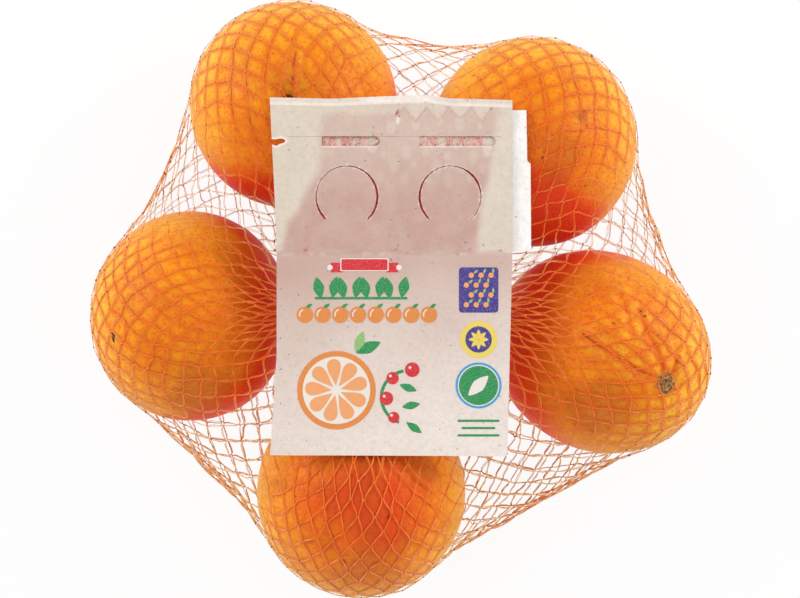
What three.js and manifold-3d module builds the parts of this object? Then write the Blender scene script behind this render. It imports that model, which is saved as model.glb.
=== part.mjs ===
// A retail net bag with five oranges, closed and carried by a folded paper label.
// The bag lies on its fruit with the label on top, as it is laid on a shelf or a table.
// Millimetres, +Z up. The origin is on the supporting surface, below the middle of the bag.

import * as THREE from "three";
import { mergeVertices } from "three/addons/utils/BufferGeometryUtils.js";
import Module from "manifold-3d";

const wasm = await Module();
wasm.setup();

// ---- The fruit -------------------------------------------------------------------------

// Each orange: where it stands, its half axes, and the heading of the first one in degrees.
const ORANGES = [
  { x: -39.7, y: 71.6, rx: 38.2, ry: 38.2, rz: 38.4, turn: 0 },
  { x: 48.6, y: 57.9, rx: 38.2, ry: 38.6, rz: 38.5, turn: 0 },
  { x: 74.0, y: -19.5, rx: 41.0, ry: 36.6, rz: 38.0, turn: -27 },
  { x: -14.7, y: -71.3, rx: 38.5, ry: 38.5, rz: 38.6, turn: 0 },
  { x: -77.6, y: -6.3, rx: 36.7, ry: 38.7, rz: 38.1, turn: 0 },
];
const SETTLE = 0.6; // how much of the net under each orange is pressed flat on the surface

// ---- The net ---------------------------------------------------------------------------

const NET = 0.6; // the knitted net stands this proud of the peel
const COLUMNS = 68; // diamonds round the knitted tube
const ROWS = 44; // knots from the mouth to the bottom seam
const STRAND = 6.1; // slack length of one strand between two knots
const PASSES = 900;
const PULL = 0.5; // share of a strand's stretch that one pass takes out
const EVEN = 0.04; // share of the way that one pass moves a knot to the middle of its neighbours

// The mouth is pressed flat where it enters the label, and the seam where it is welded shut.
const MOUTH = { x: -3, y: -3, z: 74, halfWidth: 37, halfDepth: 1.6 };
const SEAM = { x: 0, y: 4, z: 2.6, halfWidth: 22, halfDepth: 1.6 };
const SEAM_TAB = { length: 9, thickness: 1.2 };
const START = { radius: 122, height: 84 }; // loose shape that the net is drawn in from

// The open net hides nothing behind it. So that the fruit's round sides stay clear, it is drawn
// together between the oranges into a web at the fruit's mid height, out to the taut net's own
// outline. It reaches this far above and below that level in its middle and at its edge. A neck
// runs from the web to the mouth, and another to the seam.
const WEB = { level: 38.3, middle: 4, edge: 1.6, rings: 5 };
const NECK = { wider: 5, deeper: 13, levels: 5 }; // how much it flares down to the web
const BURIED = { depth: 3, reach: 2.5 }; // where the outline touches an orange, it sinks into it

// ---- The label -------------------------------------------------------------------------

const PAPER = 0.4;
const PLY_GAP = 0.3; // between the two sheets and the net's end that is glued in between
const BACK_Z = 78.1; // underside of the back sheet, which lies on the upper oranges
const TONGUE_Z = BACK_Z + PAPER + PLY_GAP;
const TONGUE = 0.5; // thickness of the flattened net end
const FRONT_Z = TONGUE_Z + TONGUE + PLY_GAP;
const CREASE_Y = 17; // the sheets are glued above this line, and the front one hangs free below
const FRONT_TOP = 71.7;
const FRONT_BOTTOM = -55.6;
const BACK_TOP = 67.2;
const TONGUE_TOP = 64;
const FLAP_DROP = 3.0; // the free lower part of the front sheet comes down on the lower fruit
const CORNER_LIFT = 2.0; // and one of its corners curls up

const FINGER_RADIUS = 10.9; // two die-cut finger holes, their flaps still in place
const FINGER_CUT = 0.7;
const FINGER_Y = 36.4;
const FINGER_X = [-19.3, 17.5];
const FINGER_FROM = -48; // the cut runs over the top, and the flap hangs on its lower side
const FINGER_TO = 228;

const TEAR_Y = 56.1; // middle of the tear strip, with its notch and two windows
const WINDOW_HEIGHT = 3.4;
const WINDOWS = [
  { from: -28.4, to: -7.6 },
  { from: 6.0, to: 34.6 },
];
const NOTCH_DEPTH = 4.6;
const NOTCH_HEIGHT = 2.6;

// ---- Small tools -----------------------------------------------------------------------

const smooth = (from, to, value) => THREE.MathUtils.smoothstep(value, from, to);
const mix = THREE.MathUtils.lerp;

// A piecewise straight profile: the value at t of a list of [t, value] stops.
function profile(stops, t) {
  const next = stops.findIndex(([at]) => at >= t);
  if (next <= 0) return stops[next === 0 ? 0 : stops.length - 1][1];
  const [t0, v0] = stops[next - 1];
  const [t1, v1] = stops[next];
  return mix(v0, v1, (t - t0) / (t1 - t0));
}

function toManifold(geometry) {
  const bare = geometry.clone();
  bare.deleteAttribute("normal");
  bare.deleteAttribute("uv");
  const merged = mergeVertices(bare, 1e-4);
  return new wasm.Manifold(
    new wasm.Mesh({
      numProp: 3,
      vertProperties: merged.attributes.position.array,
      triVerts: new Uint32Array(merged.index.array),
    }),
  );
}

function toGeometry(solid) {
  const mesh = solid.getMesh();
  const geometry = new THREE.BufferGeometry();
  geometry.setAttribute("position", new THREE.BufferAttribute(mesh.vertProperties, 3));
  geometry.setIndex(new THREE.BufferAttribute(mesh.triVerts, 1));
  geometry.computeVertexNormals();
  return geometry;
}

// A closed geometry from points and triangles that already face outwards.
function closedGeometry(points, triangles) {
  const geometry = new THREE.BufferGeometry();
  geometry.setAttribute("position", new THREE.Float32BufferAttribute(points.flat(), 3));
  geometry.setIndex(triangles.flat());
  geometry.computeVertexNormals();
  return geometry;
}

// A thin sheet over a grid: at(u, v) is a point of its underside, and it is thickness deep.
function sheetGeometry(columns, rows, thickness, at) {
  const points = [];
  const triangles = [];
  const index = (layer, i, j) => (layer * (rows + 1) + j) * (columns + 1) + i;
  for (const rise of [0, thickness])
    for (let j = 0; j <= rows; j++)
      for (let i = 0; i <= columns; i++) {
        const [x, y, z] = at(i / columns, j / rows);
        points.push([x, y, z + rise]);
      }
  const quad = (a, b, c, d) => triangles.push([a, b, c], [a, c, d]);
  for (let j = 0; j < rows; j++)
    for (let i = 0; i < columns; i++) {
      quad(index(0, i, j), index(0, i, j + 1), index(0, i + 1, j + 1), index(0, i + 1, j));
      quad(index(1, i, j), index(1, i + 1, j), index(1, i + 1, j + 1), index(1, i, j + 1));
    }
  for (let i = 0; i < columns; i++) {
    quad(index(0, i, 0), index(0, i + 1, 0), index(1, i + 1, 0), index(1, i, 0));
    quad(index(0, i + 1, rows), index(0, i, rows), index(1, i, rows), index(1, i + 1, rows));
  }
  for (let j = 0; j < rows; j++) {
    quad(index(0, 0, j + 1), index(0, 0, j), index(1, 0, j), index(1, 0, j + 1));
    quad(index(0, columns, j), index(0, columns, j + 1), index(1, columns, j + 1), index(1, columns, j));
  }
  return closedGeometry(points, triangles);
}

// ---- The net drawn over the fruit ------------------------------------------------------

// A point of a loop pressed flat along x, at a share of the way round from its +x end.
function flatLoopPoint(loop, share) {
  const along = share < 0.5 ? 1 - 4 * share : 4 * share - 3;
  const bulge = THREE.MathUtils.clamp(3 * Math.sin(2 * Math.PI * share), -1, 1);
  return [loop.x + loop.halfWidth * along, loop.y + loop.halfDepth * bulge, loop.z];
}

function startPoint(share, t) {
  const [x, y, z] = flatLoopPoint(t < 0.5 ? MOUTH : SEAM, share);
  const out = Math.sin(Math.PI * t) ** 0.7;
  const angle = 2 * Math.PI * share;
  const level = START.height * (0.5 + 0.5 * Math.cos(Math.PI * t));
  return [
    mix(x, START.radius * Math.cos(angle), out),
    mix(y, START.radius * Math.sin(angle), out),
    mix(z, level, out),
  ];
}

// An orange's middle lies this high, with the net below it and its foot pressed flat.
const fruitLevel = (fruit) => fruit.rz + NET - SETTLE;

// Where a knot lies in an orange: 0 in its middle, 1 on the net that covers it.
function reachOf(fruit, [x, y, z]) {
  const turn = THREE.MathUtils.degToRad(fruit.turn);
  const dx = x - fruit.x;
  const dy = y - fruit.y;
  const along = (dx * Math.cos(turn) + dy * Math.sin(turn)) / (fruit.rx + NET);
  const across = (dy * Math.cos(turn) - dx * Math.sin(turn)) / (fruit.ry + NET);
  return Math.hypot(along, across, (z - fruitLevel(fruit)) / (fruit.rz + NET));
}

// Moves a knot to a multiple of its distance from an orange's middle.
function scaleFrom(fruit, knot, share) {
  [fruit.x, fruit.y, fruitLevel(fruit)].forEach((middle, k) => {
    knot[k] = mix(middle, knot[k], share);
  });
}

// Moves a knot that has sunk into an orange back out to the net's outer surface.
function outOfFruit(knot) {
  for (const fruit of ORANGES) {
    const reach = reachOf(fruit, knot);
    if (reach < 1) scaleFrom(fruit, knot, 1 / reach);
  }
}

// Shortens one stretched strand from both its ends. A slack strand does nothing.
function tighten(a, b) {
  const length = Math.hypot(b[0] - a[0], b[1] - a[1], b[2] - a[2]);
  if (length <= STRAND) return;
  const share = (PULL * (length - STRAND)) / (2 * length);
  for (let k = 0; k < 3; k++) {
    const move = share * (b[k] - a[k]);
    a[k] += move;
    b[k] -= move;
  }
}

// Rows of knots, from the mouth to the seam, drawn in until the net is taut over the fruit.
// Two strands leave each knot: to the one below it and to that one's neighbour, and each
// row lies half a diamond further round than the one above it.
function tautNet() {
  const knots = [];
  for (let j = 0; j <= ROWS; j++) {
    knots.push([]);
    for (let i = 0; i < COLUMNS; i++) {
      const share = (((i - j / 2) / COLUMNS) % 1 + 1) % 1;
      knots[j].push(startPoint(share, j / ROWS));
    }
  }
  const mouth = knots[0].map((knot) => [...knot]);
  const seam = knots[ROWS].map((knot) => [...knot]);
  for (let pass = 0; pass < PASSES; pass++) {
    for (let j = 0; j < ROWS; j++)
      for (let i = 0; i < COLUMNS; i++) {
        tighten(knots[j][i], knots[j + 1][i]);
        tighten(knots[j][i], knots[j + 1][(i + 1) % COLUMNS]);
      }
    for (let j = 1; j < ROWS; j++)
      for (let i = 0; i < COLUMNS; i++) {
        const around = [
          knots[j - 1][i],
          knots[j - 1][(i + COLUMNS - 1) % COLUMNS],
          knots[j + 1][i],
          knots[j + 1][(i + 1) % COLUMNS],
        ];
        const knot = knots[j][i];
        for (let k = 0; k < 3; k++) {
          const middle = around.reduce((sum, other) => sum + other[k], 0) / around.length;
          knot[k] += EVEN * (middle - knot[k]);
        }
        outOfFruit(knot);
      }
    knots[0] = mouth.map((knot) => [...knot]);
    knots[ROWS] = seam.map((knot) => [...knot]);
  }
  return knots;
}

// The taut net's outline from above: the outermost knot of each column of diamonds.
function webOutline() {
  const knots = tautNet();
  const outline = [];
  for (let i = 0; i < COLUMNS; i++) {
    const column = knots.filter((row, j) => j % 2 === 0).map((row, half) => row[(i + half) % COLUMNS]);
    const outness = column.map(([x, y]) => Math.hypot(x, y));
    outline.push(column[outness.indexOf(Math.max(...outness))]);
  }
  return outline;
}

// Moves a point of the web's outline that lies on an orange into it.
function bury([x, y]) {
  const reaches = ORANGES.map((fruit) => reachOf(fruit, [x, y, fruitLevel(fruit)]));
  const nearest = ORANGES[reaches.indexOf(Math.min(...reaches))];
  const clear = (Math.min(...reaches) - 1) * nearest.rx;
  const point = [x, y, WEB.level];
  scaleFrom(nearest, point, 1 - (BURIED.depth / nearest.rx) * (1 - smooth(0, BURIED.reach, clear)));
  return point;
}

// The web is a plate of rings round its middle, thinner towards its outline.
function webGeometry() {
  const outline = webOutline().map(bury);
  const points = [];
  const triangles = [];
  for (const side of [1, -1]) {
    const first = points.length;
    points.push([0, 0, WEB.level + side * WEB.middle]);
    for (let ring = 1; ring <= WEB.rings; ring++) {
      const share = ring / WEB.rings;
      const half = side * mix(WEB.middle, WEB.edge, share ** 2);
      points.push(...outline.map(([x, y]) => [share * x, share * y, WEB.level + half]));
    }
    const index = (ring, i) => first + 1 + (ring - 1) * COLUMNS + (i % COLUMNS);
    const face = (a, b, c) => triangles.push(side > 0 ? [a, b, c] : [a, c, b]);
    for (let i = 0; i < COLUMNS; i++) {
      face(first, index(1, i), index(1, i + 1));
      for (let ring = 1; ring < WEB.rings; ring++) {
        face(index(ring, i), index(ring + 1, i), index(ring + 1, i + 1));
        face(index(ring, i), index(ring + 1, i + 1), index(ring, i + 1));
      }
    }
  }
  const half = points.length / 2;
  for (let i = 0; i < COLUMNS; i++) {
    const here = half - COLUMNS + i;
    const next = half - COLUMNS + ((i + 1) % COLUMNS);
    triangles.push([here, here + half, next + half], [here, next + half, next]);
  }
  return closedGeometry(points, triangles);
}

// The gathered net between the web and one of the tube's flat ends.
function neckGeometry(loop) {
  const around = 28;
  const points = [];
  const triangles = [];
  for (let level = 0; level <= NECK.levels; level++) {
    const t = level / NECK.levels;
    const flare = t ** 2;
    const halfWidth = loop.halfWidth + NECK.wider * flare;
    const halfDepth = loop.halfDepth + NECK.deeper * flare;
    for (let i = 0; i < around; i++) {
      const angle = (2 * Math.PI * i) / around;
      const x = loop.x + halfWidth * Math.cos(angle);
      points.push([x, loop.y + halfDepth * Math.sin(angle), mix(loop.z, WEB.level, t)]);
    }
  }
  const down = loop.z > WEB.level;
  const face = (a, b, c) => triangles.push(down ? [a, b, c] : [a, c, b]);
  for (let i = 0; i < around; i++) {
    const next = (i + 1) % around;
    for (let level = 0; level < NECK.levels; level++) {
      const [upper, lower] = [level * around, (level + 1) * around];
      face(upper + i, lower + i, lower + next);
      face(upper + i, lower + next, upper + next);
    }
  }
  for (let i = 1; i < around - 1; i++) {
    const foot = NECK.levels * around;
    face(0, i, i + 1);
    face(foot, foot + i + 1, foot + i);
  }
  return closedGeometry(points, triangles);
}

// An orange with the net that lies on it.
function fruitGeometry(fruit) {
  const ball = new THREE.SphereGeometry(1, 28, 16).rotateX(Math.PI / 2);
  ball.scale(fruit.rx + NET, fruit.ry + NET, fruit.rz + NET);
  ball.rotateZ(THREE.MathUtils.degToRad(fruit.turn));
  return ball.translate(fruit.x, fruit.y, fruitLevel(fruit));
}

// The net's end, pressed flat: out of the mouth, up to the crease and on between the sheets.
function tongueGeometry() {
  const rise = [
    [MOUTH.y, MOUTH.z - TONGUE],
    [CREASE_Y - 5, TONGUE_Z],
    [TONGUE_TOP, TONGUE_Z],
  ];
  const columns = 8;
  const rows = 12;
  return sheetGeometry(columns, rows, TONGUE, (u, v) => {
    const y = mix(MOUTH.y, TONGUE_TOP, v);
    const left = profile([[0, MOUTH.x - MOUTH.halfWidth], [0.3, -40], [1, -27]], v);
    const right = profile([[0, MOUTH.x + MOUTH.halfWidth], [0.3, 30.5], [1, 29.5]], v);
    return [mix(left, right, u), y, profile(rise, y)];
  });
}

// The welded bottom of the net tube, a flat tab below the middle of the bag.
function seamTabGeometry() {
  const { length, thickness } = SEAM_TAB;
  return new THREE.BoxGeometry(2 * SEAM.halfWidth, length, thickness).translate(SEAM.x, SEAM.y, SEAM.z);
}

// What the surface presses flat: everything lower than z = 0 comes off.
function floorGeometry() {
  const depth = 20;
  return new THREE.BoxGeometry(3 * START.radius, 3 * START.radius, depth).translate(0, 0, -depth / 2);
}

function netBagGeometry() {
  const net = [webGeometry(), neckGeometry(MOUTH), neckGeometry(SEAM), tongueGeometry(), seamTabGeometry()];
  const pieces = [...net, ...ORANGES.map(fruitGeometry)];
  const whole = pieces.map(toManifold).reduce((joined, piece) => joined.add(piece));
  return toGeometry(whole.subtract(toManifold(floorGeometry())));
}

// ---- The label's sheets ----------------------------------------------------------------

// Underside of the front sheet: flat over the glued part, lower and slightly wavy below it.
function frontHeight(x, y) {
  const free = smooth(0, 1, (CREASE_Y - y) / (CREASE_Y - FRONT_BOTTOM));
  const cockle = 0.35 * Math.sin(x / 13 + 0.6) * Math.sin(y / 17 + 0.4);
  const corner = CORNER_LIFT * smooth(20, 55, -y) * smooth(10, 45, -x);
  return FRONT_Z + 0.35 + cockle - FLAP_DROP * free + corner;
}

function frontPoint(u, v) {
  const left = profile([[0, -46.7], [0.4, -44.2], [0.72, -44.3], [1, -46.6]], v);
  const right = profile([[0, 39.6], [0.42, 39.6], [0.72, 38.7], [1, 37.9]], v);
  const crown = profile([[0, 0], [0.26, -0.5], [0.48, 0.4], [0.65, 0.8], [0.74, -0.3], [1, -1]], u);
  const x = mix(left, right, u);
  const y = mix(FRONT_TOP + crown, FRONT_BOTTOM - 0.5 * u, v);
  return [x, y, frontHeight(x, y)];
}

// A prism through the sheets, from a flat shape in x and y.
function cutter(shape) {
  const depth = 12;
  const options = { depth, bevelEnabled: false, curveSegments: 40 };
  return toManifold(new THREE.ExtrudeGeometry(shape, options).translate(0, 0, FRONT_Z - depth / 2));
}

function fingerCut(x) {
  const from = THREE.MathUtils.degToRad(FINGER_FROM);
  const to = THREE.MathUtils.degToRad(FINGER_TO);
  const shape = new THREE.Shape();
  shape.absarc(x, FINGER_Y, FINGER_RADIUS + FINGER_CUT / 2, from, to, false);
  shape.absarc(x, FINGER_Y, FINGER_RADIUS - FINGER_CUT / 2, to, from, true);
  shape.closePath();
  return cutter(shape);
}

function windowCut({ from, to }) {
  const half = WINDOW_HEIGHT / 2;
  const shape = new THREE.Shape();
  shape.moveTo(from, TEAR_Y - half);
  shape.lineTo(to - half, TEAR_Y - half);
  shape.absarc(to - half, TEAR_Y, half, -Math.PI / 2, Math.PI / 2, false);
  shape.lineTo(from, TEAR_Y + half);
  shape.closePath();
  return cutter(shape);
}

function notchCut() {
  const outside = -60;
  const inner = -46.2 + NOTCH_DEPTH;
  const half = NOTCH_HEIGHT / 2;
  const shape = new THREE.Shape();
  shape.moveTo(outside, TEAR_Y - half);
  shape.lineTo(inner - half, TEAR_Y - half);
  shape.absarc(inner - half, TEAR_Y, half, -Math.PI / 2, Math.PI / 2, false);
  shape.lineTo(outside, TEAR_Y + half);
  shape.closePath();
  return cutter(shape);
}

function labelFrontGeometry() {
  const columns = 18;
  const rows = 26;
  const cuts = [notchCut(), ...FINGER_X.map(fingerCut), ...WINDOWS.map(windowCut)];
  const sheet = toManifold(sheetGeometry(columns, rows, PAPER, (u, v) => frontPoint(u, 1 - v)));
  return toGeometry(cuts.reduce((left, cut) => left.subtract(cut), sheet));
}

// The shorter back sheet sits a little to the right, and its outer edge has a small step.
function labelBackGeometry() {
  const columns = 12;
  const rows = 10;
  return sheetGeometry(columns, rows, PAPER, (u, v) => {
    const y = mix(CREASE_Y, BACK_TOP, v);
    const right = profile([[0, 46.3], [0.62, 46.1], [0.64, 44.9], [1, 44.6]], v);
    return [mix(-41, right, u), y, BACK_Z];
  });
}

// ---- The pack --------------------------------------------------------------------------

function material(color, roughness) {
  return new THREE.MeshStandardMaterial({ color, roughness, metalness: 0 });
}

function part(name, geometry, look) {
  const mesh = new THREE.Mesh(geometry, look);
  mesh.name = name;
  return mesh;
}

const pack = new THREE.Group();
pack.name = "net_of_oranges";
pack.add(part("net_bag", netBagGeometry(), material("#ec8a2c", 0.5)));
pack.add(part("label_back", labelBackGeometry(), material("#f3ece6", 0.8)));
pack.add(part("label_front", labelFrontGeometry(), material("#e6d4c8", 0.85)));

export default pack;
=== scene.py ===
"""A net of oranges with its folded paper label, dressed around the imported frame.

Sizes are in millimetres unless a name says otherwise. Meshes are written in metres, in the frame's
own axes: +Z up out of the label, +Y towards the label's glued top edge.
"""

import logging
import math
from collections import defaultdict
from dataclasses import dataclass, field
from enum import Enum
from typing import Callable, Sequence

import bmesh
import bpy
import numpy as np
from bmesh.types import BMesh
from bpy.types import ID, Material, Mesh, Node, NodeSocket, NodeTree, Object
from mathutils import Matrix, Vector, noise
from mathutils.kdtree import KDTree
from numpy.random import Generator, default_rng


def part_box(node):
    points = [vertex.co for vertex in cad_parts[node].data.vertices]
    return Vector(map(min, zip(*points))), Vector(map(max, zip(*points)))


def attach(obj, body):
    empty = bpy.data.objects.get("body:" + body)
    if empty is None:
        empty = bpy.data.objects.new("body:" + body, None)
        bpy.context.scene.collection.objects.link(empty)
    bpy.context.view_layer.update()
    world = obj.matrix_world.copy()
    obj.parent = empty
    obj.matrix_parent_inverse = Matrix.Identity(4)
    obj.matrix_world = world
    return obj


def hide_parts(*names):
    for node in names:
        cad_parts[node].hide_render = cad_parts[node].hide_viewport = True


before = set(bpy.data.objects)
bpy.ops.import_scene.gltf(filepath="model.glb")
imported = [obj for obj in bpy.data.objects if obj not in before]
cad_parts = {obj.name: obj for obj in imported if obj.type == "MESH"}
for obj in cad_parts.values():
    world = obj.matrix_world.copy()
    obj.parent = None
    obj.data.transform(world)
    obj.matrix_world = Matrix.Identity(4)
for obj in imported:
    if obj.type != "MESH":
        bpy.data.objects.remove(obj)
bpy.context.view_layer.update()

MM = 0.001
BODY = "root"
LOG = logging.getLogger("net_of_oranges")

# The label's tear strip and its fold.
TEAR_Y = 56.1
FOLD_Y = 17.0

# Two or three numbers, such as a place or a size, and an array of them.
Pair = tuple[float, float]
Triple = tuple[float, float, float]
Array = np.ndarray

# Sockets of the colour form of Blender's Mix node.
MIX_FACTOR, MIX_A, MIX_B, MIX_RESULT = 0, 6, 7, 2


class Slot(str, Enum):
    """The material slots."""

    PEEL = "orange_peel"
    STEM = "stem_end"
    YARN = "net_yarn"
    FRONT = "label_front_paper"
    BACK = "label_back_paper"
    INK = "print_ink"


class StemEnd(Enum):
    """What is left at the stem end of an orange."""

    BUTTON = "woody button"
    PIT = "torn pit"


# ---- Numbers ---------------------------------------------------------------------------


def ease(low: float, high: float, value: Array | float) -> Array | float:
    """A smooth step: 0 at low, 1 at high."""
    share = np.clip((value - low) / (high - low), 0.0, 1.0)
    return share * share * (3.0 - 2.0 * share)


def bell(value: Array, width: float) -> Array:
    """A bell curve: 1 at 0, and fading on both sides over about a width."""
    return np.exp(-((value / width) ** 2))


def unit(vectors: Array) -> Array:
    """The vectors at length 1."""
    length = np.linalg.norm(vectors, axis=-1, keepdims=True)
    return vectors / np.maximum(length, 1e-9)


def swell(points: Array, size: float, seed: int) -> Array:
    """Smooth noise from -1 to 1.

    Args:
        points: Places in millimetres.
        size: How far apart the swells lie, in millimetres.
        seed: Which of many noises.

    Returns:
        One value for each point.
    """
    shift = Vector((17.3 * seed, 5.1 * seed, 9.7 * seed))
    return np.array([noise.noise(Vector(point) / size + shift) for point in points])


def distance_to_line(points: Array, line: Sequence[Pair]) -> Array:
    """How far points lie from a broken line, both seen from above.

    Args:
        points: Places as (n, 2).
        line: The line's corners.

    Returns:
        The distances as (n,).
    """
    corners = np.array(line, float)
    nearest = np.full(len(points), np.inf)
    for start, end in zip(corners[:-1], corners[1:]):
        along = end - start
        share = np.clip((points - start) @ along / (along @ along), 0.0, 1.0)
        nearest = np.minimum(nearest, np.linalg.norm(points - start - share[:, None] * along, axis=1))
    return nearest


# ---- Meshes ----------------------------------------------------------------------------


def read_points(mesh: Mesh) -> Array:
    """A mesh's vertices as (n, 3).

    Args:
        mesh: The mesh.

    Returns:
        The places of its vertices.
    """
    points = np.empty(len(mesh.vertices) * 3)
    mesh.vertices.foreach_get("co", points)
    return points.reshape(-1, 3)


def write_points(mesh: Mesh, points: Array) -> None:
    """Moves a mesh's vertices to points in millimetres."""
    mesh.vertices.foreach_set("co", (points * MM).ravel())
    mesh.update()


def write_attributes(mesh: Mesh, **attributes: Array) -> None:
    """Stores one number for each vertex under each name, which a material reads by that name.

    Args:
        mesh: The mesh.
        attributes: Each one's numbers, by its name.
    """
    for name, values in attributes.items():
        layer = mesh.attributes.new(name, "FLOAT", "POINT")
        layer.data.foreach_set("value", values.astype(np.float32))


def mesh_from(bm: BMesh, name: str) -> Mesh:
    """Writes a bmesh into a new mesh and frees it.

    Args:
        bm: The bmesh.
        name: The mesh's name.

    Returns:
        The mesh.
    """
    mesh = bpy.data.meshes.new(name)
    bm.to_mesh(mesh)
    bm.free()
    return mesh


def add_to_scene(name: str, data: ID) -> Object:
    """Adds an object that holds the data to the scene, at the origin.

    Args:
        name: The object's name.
        data: What it holds.

    Returns:
        The object.
    """
    added = bpy.data.objects.new(name, data)
    bpy.context.scene.collection.objects.link(added)
    return added


def add_object(mesh: Mesh, material: Material, smooth: bool = True) -> Object:
    """Links a mesh to the scene at the origin.

    Args:
        mesh: The mesh, whose name the object takes.
        material: Its finish.
        smooth: Whether its faces are shaded smooth.

    Returns:
        The new object.
    """
    mesh.materials.append(material)
    mesh.polygons.foreach_set("use_smooth", [smooth] * len(mesh.polygons))
    return add_to_scene(mesh.name, mesh)


def declare(piece: Object, slot: Slot, *nodes: str) -> Object:
    """Attaches a finished piece to what it rides on, and hides the frame's nodes that it stands for.

    Args:
        piece: The finished piece.
        slot: The slot for its finish; not used.
        nodes: The frame's nodes that it stands for.

    Returns:
        The same piece.
    """
    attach(piece, BODY)
    if nodes:
        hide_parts(*nodes)
    LOG.info("%s: %d faces", piece.name, len(piece.data.polygons))
    return piece


def cut(piece: Object, cutter: Mesh) -> None:
    """Takes a closed cutter out of a piece and removes the cutter.

    Args:
        piece: What is cut.
        cutter: The closed mesh that is taken away.
    """
    tool = add_to_scene("cutter", cutter)
    boolean = piece.modifiers.new("cut", "BOOLEAN")
    boolean.operation = "DIFFERENCE"
    boolean.solver = "EXACT"
    boolean.object = tool
    bpy.context.view_layer.update()
    graph = bpy.context.evaluated_depsgraph_get()
    whole = piece.data
    piece.data = bpy.data.meshes.new_from_object(piece.evaluated_get(graph))
    piece.modifiers.clear()
    piece.data.name = whole.name
    bpy.data.meshes.remove(whole)
    bpy.data.objects.remove(tool)
    bpy.data.meshes.remove(cutter)


def spin_band(bm: BMesh, centre: Vector, radius: float, width: float, span: Pair, steps: int) -> None:
    """Adds a flat band along an arc.

    Args:
        bm: What it is added to.
        centre: The arc's middle.
        radius: Out to the middle of the band.
        width: The band's width.
        span: The headings at its ends, in degrees.
        steps: How many faces it has.
    """
    start, turn = math.radians(span[0]), span[1] - span[0]
    way = Vector((math.cos(start), math.sin(start), 0))
    ends = [bm.verts.new(centre + way * (radius + step)) for step in (-width / 2, width / 2)]
    edge = bm.edges.new(ends)
    bmesh.ops.spin(
        bm,
        geom=[*ends, edge],
        cent=centre,
        axis=(0, 0, 1),
        angle=math.radians(turn),
        steps=steps,
        use_merge=turn >= 360.0,
        use_duplicate=False,
    )


# ---- Materials -------------------------------------------------------------------------


def linear(hex_colour: str) -> tuple[float, float, float, float]:
    """An sRGB hex colour as linear RGBA.

    Args:
        hex_colour: The colour as #rrggbb.

    Returns:
        Its red, green, blue and alpha.
    """
    channels = [int(hex_colour[at : at + 2], 16) / 255 for at in (1, 3, 5)]
    red, green, blue = [c / 12.92 if c <= 0.04045 else ((c + 0.055) / 1.055) ** 2.4 for c in channels]
    return (red, green, blue, 1.0)


def per_metre(size: float) -> float:
    """The texture scale at which a pattern repeats about every size millimetres."""
    return 1.0 / (size * MM)


def new_material(name: str) -> tuple[Material, NodeTree]:
    """A material with an empty node tree, and that tree.

    Args:
        name: The material's name.

    Returns:
        The material and its tree.
    """
    material = bpy.data.materials.new(name)
    material.use_nodes = True
    material.node_tree.nodes.clear()
    return material, material.node_tree


def add_node(tree: NodeTree, kind: str, sockets: dict | None = None, **settings: object) -> Node:
    """Adds a node.

    Args:
        tree: The material's tree.
        kind: The node's type, without its ShaderNode prefix.
        sockets: For each input, by name or index, its value or the output that feeds it.
        settings: The node's own properties.

    Returns:
        The new node.
    """
    node = tree.nodes.new("ShaderNode" + kind)
    for name, value in settings.items():
        setattr(node, name, value)
    for key, value in (sockets or {}).items():
        if isinstance(value, NodeSocket):
            tree.links.new(value, node.inputs[key])
        else:
            node.inputs[key].default_value = value
    return node


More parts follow.
